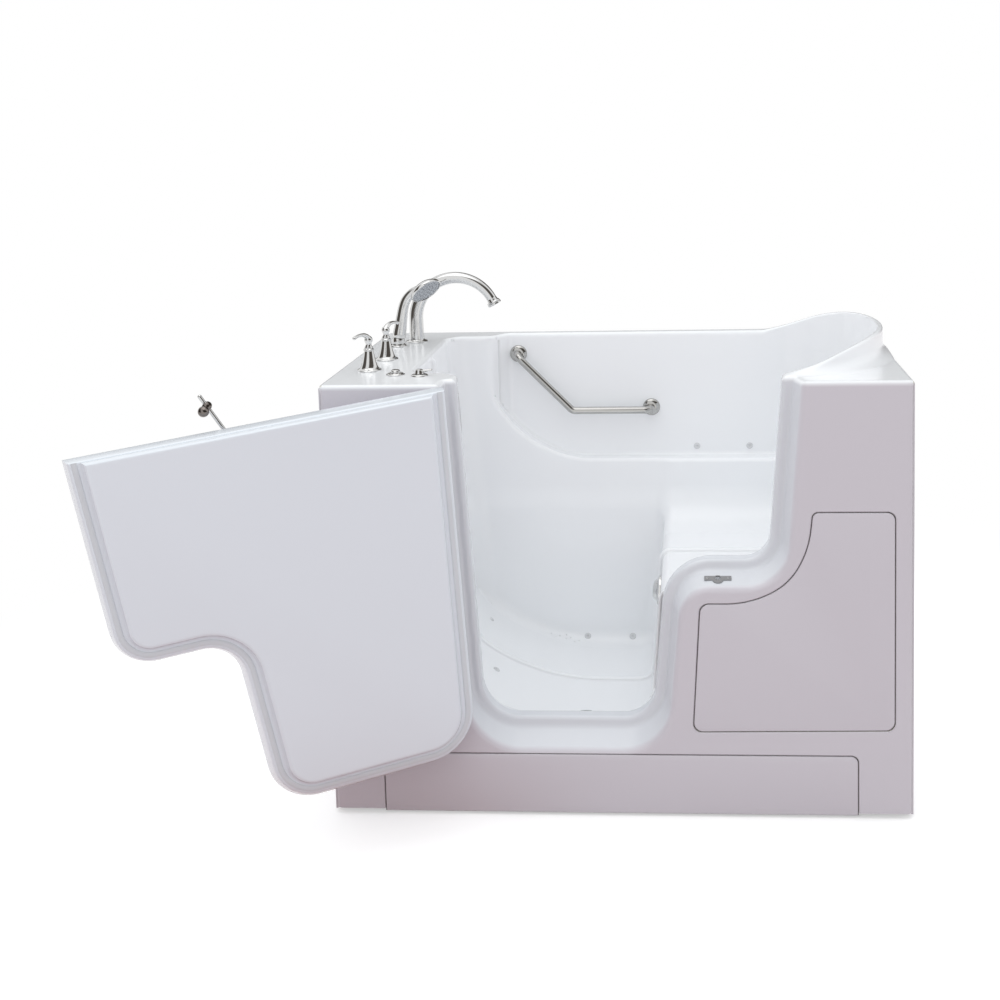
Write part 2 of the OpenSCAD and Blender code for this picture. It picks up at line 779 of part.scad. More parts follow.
module shower_wand() color("#d5d9dd") {
    at_shower() {
        translate([0, 0, -30]) cylinder(r = shower_bore_r, h = 56);
        translate([0, 0, 24.5]) cylinder(r1 = 17, r2 = 12, h = 96);
        translate([0, 0, 120.5]) sphere(r = 12);
    }
    neck = [shower_at.x, shower_at.y, deck_h] + 120.5 * [sin(shower_tilt), 0, cos(shower_tilt)];
    hub = [shower_at.x, shower_at.y, deck_h] + spray_at;
    difference() {
        bar(neck, hub, 10);
        at_spray() translate([0, 0, -9]) cylinder(r = 60, h = 60);
    }
}

module shower_head() color("#b9bec3")
    at_spray() difference() {
        union() {
            translate([0, 0, -9]) cylinder(r1 = 30, r2 = spray_r, h = 9);
            cylinder(r = spray_r, h = 9);
        }
        translate([0, 0, 6]) cylinder(r = spray_r - 4, h = 10);
    }

module shower_face() color("#8f969c")
    at_spray() translate([0, 0, 6]) {
        cylinder(r = spray_r - 4.1, h = 2);
        for (ring = [[6, 10], [12, 20], [18, 31]], k = [0:ring[0] - 1])
            rotate([0, 0, 360 * k / ring[0]]) translate([ring[1], 0, 2]) cylinder(r = 1.6, h = 2, $fn = 16);
    }

// ---------------------------------------------------------------- air button and drain knob

button_r = 11;
button_travel = 4;

module button_housing() color("#cfd3d7")
    translate([button_at.x, button_at.y, deck_h]) difference() {
        union() {
            cylinder(r1 = 22, r2 = 20, h = 5);
            translate([0, 0, -36]) cylinder(r = 14, h = 36);
        }
        translate([0, 0, -33]) cylinder(r = button_r + fit, h = 50);
    }

module air_button() color("#cfd3d7")
    translate([button_at.x, button_at.y, deck_h - 12]) cylinder(r = button_r, h = 24);

module button_spring() color("#9aa0a6")
    translate([button_at.x, button_at.y, deck_h - 33]) difference() {
        cylinder(r = 8, h = 21);
        translate([0, 0, -1]) cylinder(r = 6.5, h = 23);
    }

module drain_knob_base() color("#cfd3d7")
    translate([knob_at.x, knob_at.y, deck_h]) difference() {
        union() {
            cylinder(r1 = 20, r2 = 18, h = 4);
            translate([0, 0, -36]) cylinder(r = 8, h = 36);
        }
        translate([0, 0, -40]) cylinder(r = 5 + fit, h = 50);
    }

// Side lever, with the wheel under the deck that its cable winds on
module drain_knob() color("#cfd3d7")
    translate([knob_at.x, knob_at.y, deck_h]) {
        translate([0, 0, -46]) cylinder(r = 5, h = 52);
        translate([0, 0, -46]) cylinder(r = 26, h = 8);
        translate([0, 0, 4.5]) cylinder(r1 = 12, r2 = 10, h = 10);
        bar([0, 0, 10], [32, 0, 13], 3.5);
    }

// ---------------------------------------------------------------- hinge

function opening_left(z) = opening_pts[1].x + (z - opening_pts[1].y) * hinge_slope;
hinge_foot = [opening_left(hinge_z) + hinge_inset, hinge_y, hinge_z];
hinge_axis = [sin(hinge_tilt), 0, cos(hinge_tilt)];
leaf_w = 38;
leaf_t = 1.5;
knuckles = 15;
knuckle_l = hinge_l / knuckles;
screw_r = 2.5;
screw_rows = 8;

// The hinge's own frame: its pin stands along z
module at_hinge() {
    translate(hinge_foot) rotate([0, hinge_tilt, 0]) children();
}

// Carries the closed door's pieces to where the open door stands
module swung_open() {
    translate(hinge_foot) rotate(a = -door_open, v = hinge_axis) translate(-hinge_foot) children();
}

// One leaf with its share of the knuckles; `side` is -1 for the jamb and 1 for the door
module hinge_leaf(side, first) {
    face = -knuckle_r - 0.4;
    difference() {
        union() {
            translate([side < 0 ? -leaf_w : knuckle_r + 0.5, -face - leaf_t, 0])
                cube([leaf_w - knuckle_r - 0.5, leaf_t, hinge_l]);
            for (k = [first:2:knuckles - 1]) translate([0, 0, k * knuckle_l + 0.2]) {
                cylinder(r = knuckle_r, h = knuckle_l - 0.4);
                translate([side < 0 ? -knuckle_r - 1 : 2.5, -face - 2.4, 0])
                    cube([knuckle_r - 1.5, 2.4, knuckle_l - 0.4]);
            }
        }
        translate([0, 0, -1]) cylinder(r = pin_r + fit, h = hinge_l + 2);
        at_leaf_screws(side) rotate([90, 0, 0]) translate([0, 0, -5]) cylinder(r = screw_r + 0.2, h = 20);
    }
}

module at_leaf_screws(side) {
    for (k = [0:screw_rows - 1])
        translate([side * 24, knuckle_r + 0.4, hinge_l * (k + 0.5) / screw_rows]) children();
}

module leaf_screws(side) {
    at_leaf_screws(side) rotate([90, 0, 0]) {
        translate([0, 0, 0]) cylinder(r = screw_r, h = leaf_t);
        translate([0, 0, leaf_t]) cylinder(r1 = 4.5, r2 = 3, h = 1.2);
    }
}

module jamb_hinge_leaf() color("#c5c9cd") at_hinge() hinge_leaf(-1, 0);
module hinge_pin() color("#8d9297") at_hinge() cylinder(r = pin_r, h = hinge_l);
module door_hinge_leaf() color("#c5c9cd") swung_open() at_hinge() hinge_leaf(1, 1);
module door_hinge_screws() color("#aeb3b8") swung_open() at_hinge() leaf_screws(1);

// ---------------------------------------------------------------- door

skin_t = 4;
mid_y = front_y + 30;
plug_inset = 31;
plug_bevel = 10;
door_top = deck_h - 1;

function door_outline(y, by) = opening_outline(y - front_y, door_gap + by, door_top - (by > 0 ? by : 0));

module door_volume(y0, y1, by = 0) {
    loft_y([door_outline(y0, by), door_outline(y1, by)], [y0, y1]);
}

// Inner half of the slab with the bevelled plug on it, drawn in by `by`
module plug_volume(y0, by = 0) {
    loft_y([
        door_outline(y0, by), door_outline(slab_y - by, by),
        opening_outline(door_t, plug_inset + by, door_top - 3 - by),
        opening_outline(door_t, plug_inset + plug_bevel + by, door_top - 6 - by)
    ], [y0, slab_y - by, slab_y - by, plug_y - by]);
}

module door_outer_skin() color("#eceaee") swung_open()
    difference() {
        door_volume(front_y, mid_y);
        door_volume(front_y + skin_t, mid_y + eps, skin_t);
        translate([bolt_x, bolt_y, 500]) cylinder(r = bolt_r + fit, h = 90);
    }

module door_inner_skin() color("#f1f2f4") swung_open()
    difference() {
        plug_volume(mid_y);
        plug_volume(mid_y - eps, skin_t);
        translate([bolt_x, bolt_y, 500]) cylinder(r = bolt_r + fit, h = 90);
    }

// Stiffening board bonded behind the outer skin
module door_core() color("#c9a66b") swung_open()
    difference() {
        door_volume(front_y + skin_t, front_y + 22, skin_t);
        translate([bolt_x - 40, bolt_y - 12, 500]) cube([80, 60, 200]);
    }

module door_gasket() color("#dcdde0") swung_open()
    difference() {
        loft_y([for (k = [0, 1]) opening_outline(door_t, door_gap + 6, door_top)], [slab_y, stop_y - 0.5]);
        loft_y([for (k = [0, 1]) opening_outline(door_t, door_gap + 18, cut_top)],
            [slab_y - 1, stop_y + 1]);
    }

// ---------------------------------------------------------------- latch

module at_latch() {
    translate([latch_at.x, front_y, latch_at.y]) rotate([90, 0, 0]) children();
}

module latch_plate() color("#cfd3d7") swung_open()
    at_latch() {
        cylinder(r = 28, h = 5);
        cylinder(r = 7, h = 28);
    }

// Hub and rod that the bather swings to draw the bolt
module latch_lever() color("#c3c8cd") swung_open() {
    at_latch() difference() {
        translate([0, 0, 5.5]) cylinder(r = 15, h = 22);
        cylinder(r = 7 + fit, h = 40);
    }
    difference() {
        bar([latch_at.x, lever_y, latch_at.y],
            [latch_at.x + lever_l * sin(latch_lean), lever_y, latch_at.y + lever_l * cos(latch_lean)], lever_r);
        at_latch() cylinder(r = 14, h = 40);
    }
}

module latch_knob() color("#4a4543") swung_open()
    translate([
        latch_at.x + knob_along * sin(latch_lean), lever_y, latch_at.y + knob_along * cos(latch_lean)
    ]) difference() {
        union() {
            bar(-0.3 * knob_offset, 0.3 * knob_offset, 10);
            bar([0, 0, 0], knob_offset, 5);
            translate(knob_offset) sphere(r = 12);
        }
        bar([-40 * sin(latch_lean), 0, -40 * cos(latch_lean)],
            [40 * sin(latch_lean), 0, 40 * cos(latch_lean)], lever_r + 0.05);
    }

bolt_low = 565;
bolt_l = 62;

module bolt_housing() color("#9aa0a6") swung_open()
    difference() {
        translate([bolt_x - 16, bolt_y - 10, bolt_low + 12]) cube([32, 20, 60]);
        translate([bolt_x, bolt_y, bolt_low]) cylinder(r = bolt_r + fit, h = 100);
    }

module latch_bolt() color("#d9dcdf") swung_open()
    translate([bolt_x, bolt_y, bolt_low]) cylinder(r = bolt_r, h = bolt_l);

// Keeper that the bolt drops into, on the slope of the step
step_slope = atan(opening_lean[3] / recess_t);

module at_strike() {
    translate([bolt_x, bolt_y, opening_pts[3].y + (bolt_y - front_y) * tan(step_slope)])
        rotate([step_slope, 0, 0]) children();
}

module strike_plate() color("#a9adb1")
    at_strike() difference() {
        union() {
            translate([-31, -7, 0.1]) cube([62, 14, 1.9]);
            translate([0, -4, 0.1]) cylinder(r = 13, h = 1.9);
        }
        translate([0, 0, -5]) cylinder(r = bolt_r + 1.5, h = 20);
        for (x = [-24, 24]) translate([x, 0, -5]) cylinder(r = 2.2, h = 20);
    }

// Screws of the hinge leaf and of the strike plate, in the door frame
module frame_screws() color("#8d9297") {
    at_hinge() leaf_screws(-1);
    at_strike() for (x = [-24, 24]) translate([x, 0, 0.1]) {
        cylinder(r = 2, h = 1.9);
        translate([0, 0, 1.9]) cylinder(r1 = 3.6, r2 = 2.6, h = 0.8);
    }
}

// ---------------------------------------------------------------- drawing

deck_moulding();
basin_moulding();
seat_moulding();
front_moulding();
left_end_panel();
right_end_panel();
access_panel();
kick_panel();
panel_clips();
frame_rails();
frame_cross_tubes();
frame_posts();
levelling_feet();
foot_lock_nuts();
strike_plate();
frame_screws();
grab_bar();
grab_bar_flanges();
air_jets();
air_manifold();
air_blower();
blower_plate();
overflow_cover();
overflow_pipe();
drain_flange();
drain_stopper();
waste_pipe();
spout();
spout_flange();
spout_aerator();
spout_shank();
mixing_pipes();
deck_nuts();
hot_valve_body();
cold_valve_body();
valve_escutcheons();
hot_handle();
cold_handle();
shower_holder();
shower_wand();
shower_head();
shower_face();
button_housing();
air_button();
button_spring();
drain_knob_base();
drain_knob();
jamb_hinge_leaf();
hinge_pin();
door_outer_skin();
door_inner_skin();
door_core();
door_gasket();
door_hinge_leaf();
door_hinge_screws();
latch_plate();
latch_lever();
latch_knob();
bolt_housing();
latch_bolt();
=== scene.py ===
import math

import bmesh
import bpy
import numpy as np
from mathutils import Matrix, Vector


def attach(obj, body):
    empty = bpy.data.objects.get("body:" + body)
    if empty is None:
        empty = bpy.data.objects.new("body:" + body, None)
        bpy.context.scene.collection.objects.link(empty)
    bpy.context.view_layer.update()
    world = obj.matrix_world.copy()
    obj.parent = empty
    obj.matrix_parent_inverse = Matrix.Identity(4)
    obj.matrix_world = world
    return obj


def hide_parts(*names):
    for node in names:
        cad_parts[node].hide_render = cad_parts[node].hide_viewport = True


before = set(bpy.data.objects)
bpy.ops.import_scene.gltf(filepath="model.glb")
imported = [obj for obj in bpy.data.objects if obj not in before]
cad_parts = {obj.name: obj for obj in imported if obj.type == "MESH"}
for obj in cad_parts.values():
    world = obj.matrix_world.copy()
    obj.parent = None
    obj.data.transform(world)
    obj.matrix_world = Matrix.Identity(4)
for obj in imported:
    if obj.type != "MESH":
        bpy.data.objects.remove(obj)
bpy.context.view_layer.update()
scene = bpy.context.scene

# ---------------------------------------------------------------- camera
# The photograph was taken from standing height with the camera turned a little to its own
# left and rolled slightly. Its place and angles come from the tub's straight edges.

CAMERA_PLACE = Vector((0.161, -3.374, 1.618))
CAMERA_YAW, CAMERA_PITCH, CAMERA_ROLL = (math.radians(a) for a in (-3.70, 6.03, 1.23))
camera = bpy.data.objects.new("camera", bpy.data.cameras.new("camera"))
scene.collection.objects.link(camera)
scene.camera = camera
camera.data.sensor_width = 36.0
camera.data.lens = 48.77
camera.data.shift_x, camera.data.shift_y = -0.095, -0.24
ahead = Vector((
    math.sin(CAMERA_YAW) * math.cos(CAMERA_PITCH),
    math.cos(CAMERA_YAW) * math.cos(CAMERA_PITCH),
    -math.sin(CAMERA_PITCH),
))
right = Vector((math.cos(CAMERA_YAW), -math.sin(CAMERA_YAW), 0.0))
down = ahead.cross(right)
right, down = (
    right * math.cos(CAMERA_ROLL) + down * math.sin(CAMERA_ROLL),
    down * math.cos(CAMERA_ROLL) - right * math.sin(CAMERA_ROLL),
)
camera.matrix_world = Matrix.Translation(CAMERA_PLACE) @ Matrix((right, -down, -ahead)).transposed().to_4x4()

# ---------------------------------------------------------------- light and floor
# A white studio: an even pale world and one broad lamp above. The white floor keeps the tub's
# soft shadow and throws a little warm light back up, most of it beside the open door, as the
# room's own floor did. Metal also mirrors the studio's dark screens.


class Sock:
    """A shader socket with arithmetic: an expression on sockets adds its Math nodes."""

    def __init__(self, tree, socket):
        self.tree, self.socket = tree, socket

    def node(self, kind, settings=None, **inputs):
        """Adds a node and returns it as a function of its output's name."""
        new = self.tree.nodes.new(kind)
        for name, value in (settings or {}).items():
            if name == "stops":
                ramp = new.color_ramp.elements
                while len(ramp) < len(value):
                    ramp.new(0.5)
                for stop, (place, colour) in zip(ramp, value):
                    stop.position, stop.color = place, (*colour, 1.0)
            else:
                setattr(new, name, value)
        for name, value in inputs.items():
            spot = new.inputs[int(name[1:])] if name[0] == "i" and name[1:].isdigit() else new.inputs[name]
            if isinstance(value, Sock):
                self.tree.links.new(value.socket, spot)
            else:
                spot.default_value = value
        return lambda out=0: Sock(self.tree, new.outputs[out])

    def maths(self, operation, other=0.0):
        return self.node("ShaderNodeMath", {"operation": operation}, i0=self, i1=other)()

    def __add__(self, other):
        return self.maths("ADD", other)

    def __sub__(self, other):
        return self.maths("SUBTRACT", other)

    def __mul__(self, other):
        return self.maths("MULTIPLY", other)

    def clamp(self):
        return self.node("ShaderNodeClamp", None, Value=self)()

    def between(self, low, high, curve="LINEAR"):
        """Runs from 0 to 1 as this value runs from low to high."""
        return self.node("ShaderNodeMapRange", {"interpolation_type": curve}, Value=self, i1=low, i2=high)()

    def mix(self, low, high):
        """A colour that runs from low to high as this value runs from 0 to 1."""
        return self.node("ShaderNodeMix", {"data_type": "RGBA"}, i0=self, i6=low, i7=high)(2)


def new_material(name):
    """An empty node material: its principled shader, and a socket to start expressions from."""
    material = bpy.data.materials.new(name)
    material.use_nodes = True
    tree = material.node_tree
    shader = tree.nodes["Principled BSDF"]
    place = tree.nodes.new("ShaderNodeTexCoord")
    return material, shader, Sock(tree, place.outputs["Object"])


def feed(shader, **values):
    """Sets or links the shader's sockets; an underscore stands for a space in a name."""
    for name, value in values.items():
        spot = shader.inputs[name.replace("_", " ")]
        if isinstance(value, Sock):
            value.tree.links.new(value.socket, spot)
        else:
            spot.default_value = value


def noise(place, scale, detail=2.0, stretch=(1, 1, 1)):
    """A noise value over the piece, at that many cells a metre."""
    where = place.node("ShaderNodeMapping", None, Vector=place, Scale=stretch)()
    return place.node("ShaderNodeTexNoise", None, Vector=where, Scale=scale, Detail=detail)()


def bump(height, strength, distance):
    return height.node("ShaderNodeBump", None, Height=height, Strength=strength, Distance=distance)()


def seen_rays(tree):
    """1 for rays that see the background itself, in the camera, in metal or through glass."""
    path = tree.nodes.new("ShaderNodeLightPath")
    kinds = [Sock(tree, path.outputs[f"Is {kind} Ray"]) for kind in ("Camera", "Glossy", "Transmission")]
    return (kinds[0] + kinds[1] + kinds[2]).clamp()


def lamp(name, place, target, size, power):
    light = bpy.data.lights.new(name, "AREA")
    light.shape, light.size, light.size_y, light.energy = "RECTANGLE", size[0], size[1], power
    holder = bpy.data.objects.new(name, light)
    holder.location = place
    holder.rotation_euler = (Vector(target) - Vector(place)).to_track_quat("-Z", "Y").to_euler()
    scene.collection.objects.link(holder)


scene.view_settings.view_transform = "Standard"
lamp("top_lamp", (-0.45, -0.5, 3.6), (0.0, 0.0, 0.6), (2.8, 2.2), 15)

WHITE, BLACK, WORLD_LIGHT = (1, 1, 1, 1), (0, 0, 0, 1), 0.98
world = bpy.data.worlds.new("studio")
scene.world = world
world.use_nodes = True
sky = world.node_tree.nodes["Background"]
seen = seen_rays(world.node_tree)
mirrored = Sock(world.node_tree, world.node_tree.nodes.new("ShaderNodeLightPath").outputs["Is Glossy Ray"])
way = Sock(world.node_tree, world.node_tree.nodes.new("ShaderNodeTexCoord").outputs["Generated"])
parts = way.node("ShaderNodeSeparateXYZ", None, Vector=way)
screens = (parts("Y").maths("ARCTAN2", parts("X")) * 3.0 + parts("Z") * 2.0).maths("SINE") * 1.6 + 0.1
overhead = (parts("Z") * 4.0 - 2.4).clamp()
room = (screens.clamp() + overhead).clamp().mix((0.10, 0.09, 0.08, 1), WHITE)
daylight = seen.mix((0.98, 0.99, 1.0, 1), WHITE)
feed(sky, Color=mirrored.mix(daylight, room), Strength=seen * (1 - WORLD_LIGHT) + WORLD_LIGHT)


def mesh_object(name, points, faces, smooth=True):
    """A new object at the origin, whose mesh holds these points in metres."""
    mesh = bpy.data.meshes.new(name)
    mesh.from_pydata([tuple(p) for p in points], [], [tuple(int(i) for i in f) for f in faces])
    mesh.validate()
    mesh.polygons.foreach_set("use_smooth", [smooth] * len(mesh.polygons))
    made = bpy.data.objects.new(name, mesh)
    scene.collection.objects.link(made)
    return made


def far_from(place, spot, near, far):
    """0 within near of a spot, and 1 beyond far of it."""
    gap = place.node("ShaderNodeVectorMath", {"operation": "DISTANCE"}, i0=place, i1=spot)("Value")
    return gap.between(near, far, "SMOOTHSTEP")


FLOOR_LIFT, FLOOR_NEAR, FLOOR_FAR = 0.42, 1.1, 2.3
WARM_SPOT, WARM_NEAR, WARM_FAR = (-0.62, -0.46, 0.0), 0.1, 0.65
floor = mesh_object("floor", [(-9, -9, 0), (9, -9, 0), (9, 9, 0), (-9, 9, 0)], [(0, 1, 2, 3)])
paper, shader, place = new_material("white_floor")
away = far_from(place, (0, 0, 0), FLOOR_NEAR, FLOOR_FAR)
seen = seen_rays(paper.node_tree)
bounce = far_from(place, WARM_SPOT, WARM_NEAR, WARM_FAR).mix((0.24, 0.0, 0.0, 1), (0.57, 0.48, 0.50, 1))
paper_tone = seen.mix(bounce, (seen * away).mix((0.80, 0.80, 0.80, 1), BLACK))
lift = seen.mix(BLACK, away.mix((FLOOR_LIFT, FLOOR_LIFT, FLOOR_LIFT, 1), WHITE))
feed(shader, Base_Color=paper_tone, Roughness=0.9, Emission_Color=lift, Emission_Strength=1.0)
shader.inputs["Specular IOR Level"].default_value = 0.0
floor.data.materials.append(paper)

# ---------------------------------------------------------------- tub shell
# The basin, deck and front skirt are one glossy white acrylic shell, formed over a mould and
# backed with glass fibre and resin, so every edge on it is rounded. It is drawn as a field
# that is negative inside the acrylic, and skinned.

MM = 0.001
SKIRT_GAP, DECK, FRONT, BACK, END = 8.0, 1022.0, -381.0, 381.0, 673.0
SHEET, WALL = 8.0, 12.0
RECESS, STOP = 60.0, 24.0
OPENING = ((-395.5, 1022.0), (-346.7, 156.5), (112.2, 156.5), (148.7, 546.5), (387.1, 546.5), (424.8, 1022.0))
OPENING_RADII = (125.0, 107.0, 68.0, 95.0)
OPENING_LEAN = (5.0, 32.0, 16.0, 24.0, 16.0)
RAMP_HEAD, RAMP_FOOT, RISER_FOOT, RISER_HEAD = (-430, 292), (-208, 145), (72, 145), (100, 500)
WELL_BACK, BAY_BACK, WELL_ROUND = 285, 342, 45


def beyond(u, v, start, end):
    """How far (u, v) lies outside the edge from start to end of a counter-clockwise outline."""
    du, dv = end[0] - start[0], end[1] - start[1]
    return ((u - start[0]) * dv - (v - start[1]) * du) / math.hypot(du, dv)


def join(a, b, radius):
    """The union of two fields, with a fillet where they meet."""
    reach = np.hypot(np.maximum(radius - a, 0), np.maximum(radius - b, 0))
    return np.maximum(radius, np.minimum(a, b)) - reach


def common(a, b, radius):
    """What two fields share, with its edge rounded."""
    return -join(-a, -b, radius)


def opening_field(x, z, depth, gap):
    """The door opening at a depth behind the front face, drawn in by gap."""
    left, sill, shin, step, side = (
        beyond(x, z, OPENING[k], OPENING[k + 1]) + OPENING_LEAN[k] * depth / RECESS + gap for k in range(5)
    )
    mean = gap + depth / 4
    field = join(shin, common(step, side, OPENING_RADII[3] - mean), OPENING_RADII[2] + mean)
    return common(common(field, sill, OPENING_RADII[1] - mean), left, OPENING_RADII[0] - mean)


def head_ellipse(x, y, grow):
    """How far (x, y) lies outside the rounded head end of the basin, grown by that much."""
    u, v, a, b = np.maximum(x - 430, 0), y - 30, 210 + grow, 312 + grow
    near, slope = np.hypot(u / a, v / b), np.hypot(u / a ** 2, v / b ** 2)
    return near * (near - 1) / np.maximum(slope, 1e-6)


def basin_void(x, y, z):
    """The room inside the basin."""
    ramp = beyond(x, z, RAMP_HEAD, RAMP_FOOT)
    floor_up = RAMP_FOOT[1] - z
    riser = beyond(x, z, RISER_FOOT, RISER_HEAD)
    wall = y - WELL_BACK
    floor_edge = common(wall, floor_up, WELL_ROUND)
    well = common(common(common(ramp, floor_up, 90), riser, 45), floor_edge, 30)
    seat = common(RISER_HEAD[1] - z, wall, 105)
    rest = beyond(x, z, (470, 500), (640, 960))
    foot_end = beyond(x, z, (-505, 1142), RAMP_HEAD)
    side = join(well, seat, 22)
    side = common(common(side, rest, 80), foot_end, 70)
    corner = join(-225 - y, beyond(x, y, (-400, -225), (-355, -282)), 30)
    plan = common(common(head_ellipse(x, y, 0), -505 - x, 60), corner, 40)
    low = common(common(plan, side, 50), common(-282 - y, floor_up, WELL_ROUND), 1)
    fade = np.clip((-318 - x) / 70, 0, 1)
    bay = common(common(-390 - x, 677 - z, 300), y - BAY_BACK + 62 * fade * fade * (3 - 2 * fade), 8)
    bay = common(common(bay, plan, 1), common(rest, foot_end, 60), 40)
    return join(low, bay, 12)


def way_in_field(x, y, z):
    """The bather's way in: the recess that the door closes into, and the throat behind it."""
    depth = np.clip(y - FRONT, 0, RECESS)
    recess = common(opening_field(x, z, depth, 0.0), y - (FRONT + RECESS), 7)
    throat = common(opening_field(x, z, RECESS, STOP), y + 262, 1)
    return recess, throat, join(recess, throat, 9)


def tub_field(x, y, z):
    void = basin_void(x, y, z)
    recess, throat, way_in = way_in_field(x, y, z)
    deck, skirt = DECK - SHEET - z, y - (FRONT + SHEET)
    frame_wall = common(join(recess - WALL, throat - WALL, 4), y + 285, 1)
    solid = join(join(deck, skirt, 12), void - WALL, 6)
    solid = common(join(solid, frame_wall, 14), z - DECK, 1)
    block = common(common(np.abs(x) - END, np.abs(y) - BACK, 12), SKIRT_GAP - z, 1)
    solid = common(common(solid, block, 8), -void, 12)
    rise = 1092 - 82 * np.clip((640 - x) / 240, 0, 1) ** 1.6
    lip = common(np.abs(head_ellipse(x, y, 8)) - 8, common(z - rise, common(405 - x, 1000 - z, 2), 2), 7)
    solid = common(join(solid, lip, 34), -void, 1)
    return common(solid, -way_in, 11)


def slope_of(field, points, reach=1.0):
    """The field's gradient at points."""
    parts = []
    for axis in range(3):
        step = np.zeros(3)
        step[axis] = reach
        parts.append((field(*(points + step).T) - field(*(points - step).T)) / (2 * reach))
    return np.stack(parts, axis=1)


def settle(field, points, rounds=3):
    """Moves points onto the field's zero surface."""
    for _ in range(rounds):
        slope = slope_of(field, points)
        size = np.maximum((slope ** 2).sum(axis=1), 0.25)
        move = -slope * (field(*points.T) / size)[:, None]
        reach = np.linalg.norm(move, axis=1, keepdims=True)
        points = points + move * np.minimum(1, 3.0 / np.maximum(reach, 1e-9))
    return points


def skin_of(field, low, high, step):
    """Points and four-sided faces round where the field is negative, on a grid of that step."""
    axes = [np.arange(a, b + step, step) for a, b in zip(low, high)]
    value = field(axes[0][:, None, None], axes[1][None, :, None], axes[2][None, None, :]).astype(np.float32)
    inside = value < 0
    shape = tuple(n - 1 for n in value.shape)
    spots = [(i, j, k) for i in (0, 1) for j in (0, 1) for k in (0, 1)]

    def corner(array, spot):
        return array[tuple(slice(s, s + n) for s, n in zip(spot, shape))]

    count = sum(corner(inside, s).astype(np.int8) for s in spots)
    mixed = (count > 0) & (count < 8)
    number = np.full(shape, -1, dtype=np.int64)
    number[mixed] = np.arange(mixed.sum())
    total = np.zeros((mixed.sum(), 3))
    hits = np.zeros(mixed.sum())
    for a in spots:
        for axis in range(3):
            if a[axis]:
                continue
            b = tuple(v + (k == axis) for k, v in enumerate(a))
            fa, fb = corner(value, a)[mixed], corner(value, b)[mixed]
            crossed = (fa < 0) != (fb < 0)
            at = np.array(a, float)[None, :].repeat(len(fa), axis=0)
            at[:, axis] = np.where(crossed, fa / np.where(crossed, fa - fb, 1), 0)
            total += at * crossed[:, None]
            hits += crossed
    points = (np.argwhere(mixed) + total / hits[:, None]) * step + np.array([a[0] for a in axes])
    faces = []
    for axis in range(3):
        u, v = (axis + 1) % 3, (axis + 2) % 3
        cut = [slice(1, n) for n in shape]
        cut[axis] = slice(0, shape[axis])
        other = list(cut)
        other[axis] = slice(1, shape[axis] + 1)
        here = inside[tuple(cut)]
        change = here != inside[tuple(other)]
        at = np.argwhere(change)
        at[:, u] += 1
        at[:, v] += 1
        ring = []
        for du, dv in ((-1, -1), (0, -1), (0, 0), (-1, 0)):
            pick = at.copy()
            pick[:, u] += du
            pick[:, v] += dv
            ring.append(number[tuple(pick.T)])
        ring = np.stack(ring, axis=1)
        backward = ~here[change]
        ring[backward] = ring[backward][:, ::-1]
        faces.append(ring)
    return points, np.concatenate(faces)


def finished(piece, *modifiers):
    """Applies modifiers to a piece and returns it as a plain mesh."""
    for kind, settings in modifiers:
        added = piece.modifiers.new(kind, kind)
        for name, value in settings.items():
            setattr(added, name, value)
    mesh = bpy.data.meshes.new_from_object(piece.evaluated_get(bpy.context.evaluated_depsgraph_get()))
    piece.modifiers.clear()
    old, piece.data = piece.data, mesh
    mesh.name = piece.name
    bpy.data.meshes.remove(old)
    return piece


def cut_out(piece, *tools):
    """Takes the tools' forms out of a piece, and clears the tools away."""
    for tool in tools:
        finished(piece, ("BOOLEAN", {"object": tool, "operation": "DIFFERENCE", "solver": "MANIFOLD"}))
        bpy.data.objects.remove(tool)


def true_normals(piece, field):
    """Shades a piece by its field's own normals, except on faces cut across the field."""
    mesh = piece.data
    points = np.empty(len(mesh.vertices) * 3)
    mesh.vertices.foreach_get("co", points)
    slope = slope_of(field, points.reshape(-1, 3) / MM, 1.5)
    slope /= np.maximum(np.linalg.norm(slope, axis=1, keepdims=True), 1e-9)
    corner_of = np.empty(len(mesh.loops), dtype=np.int64)
    mesh.loops.foreach_get("vertex_index", corner_of)
    flat = np.empty(len(mesh.polygons) * 3)
    mesh.polygons.foreach_get("normal", flat)
    sides = np.empty(len(mesh.polygons), dtype=np.int64)
    mesh.polygons.foreach_get("loop_total", sides)
    flat = flat.reshape(-1, 3).repeat(sides, axis=0)
    normals = slope[corner_of]
    front = points.reshape(-1, 3)[corner_of, 1] / MM < FRONT + 3
    cut = (normals * flat).sum(axis=1) < np.where(front, 0.75, 0.35)
    normals[cut] = flat[cut]
    mesh.polygons.foreach_set("use_smooth", [True] * len(mesh.polygons))
    mesh.normals_split_custom_set(normals.tolist())


def rounded(corners, radii, steps=14):
    """A closed outline of straight edges whose corners have these radii."""
    outline = []
    for k, (corner, radius) in enumerate(zip(corners, radii)):
        here = np.array(corner, float)
        if radius == 0:
            outline.append(here)
            continue
        u = np.array(corners[k - 1], float) - here
        v = np.array(corners[(k + 1) % len(corners)], float) - here
        u, v = u / np.hypot(*u), v / np.hypot(*v)
        half = math.acos(u @ v) / 2
        centre = here + (u + v) / np.hypot(*(u + v)) * radius / math.sin(half)
        spokes = [here + w * radius / math.tan(half) - centre for w in (u, v)]
        start, stop = (math.atan2(s[1], s[0]) for s in spokes)
        turn = (stop - start + 3 * math.pi) % (2 * math.pi) - math.pi
        for angle in start + turn * np.linspace(0, 1, steps):
            outline.append(centre + radius * np.array([math.cos(angle), math.sin(angle)]))
    return np.array(outline)


def crossed(a, b):
    return a[0] * b[1] - a[1] * b[0]


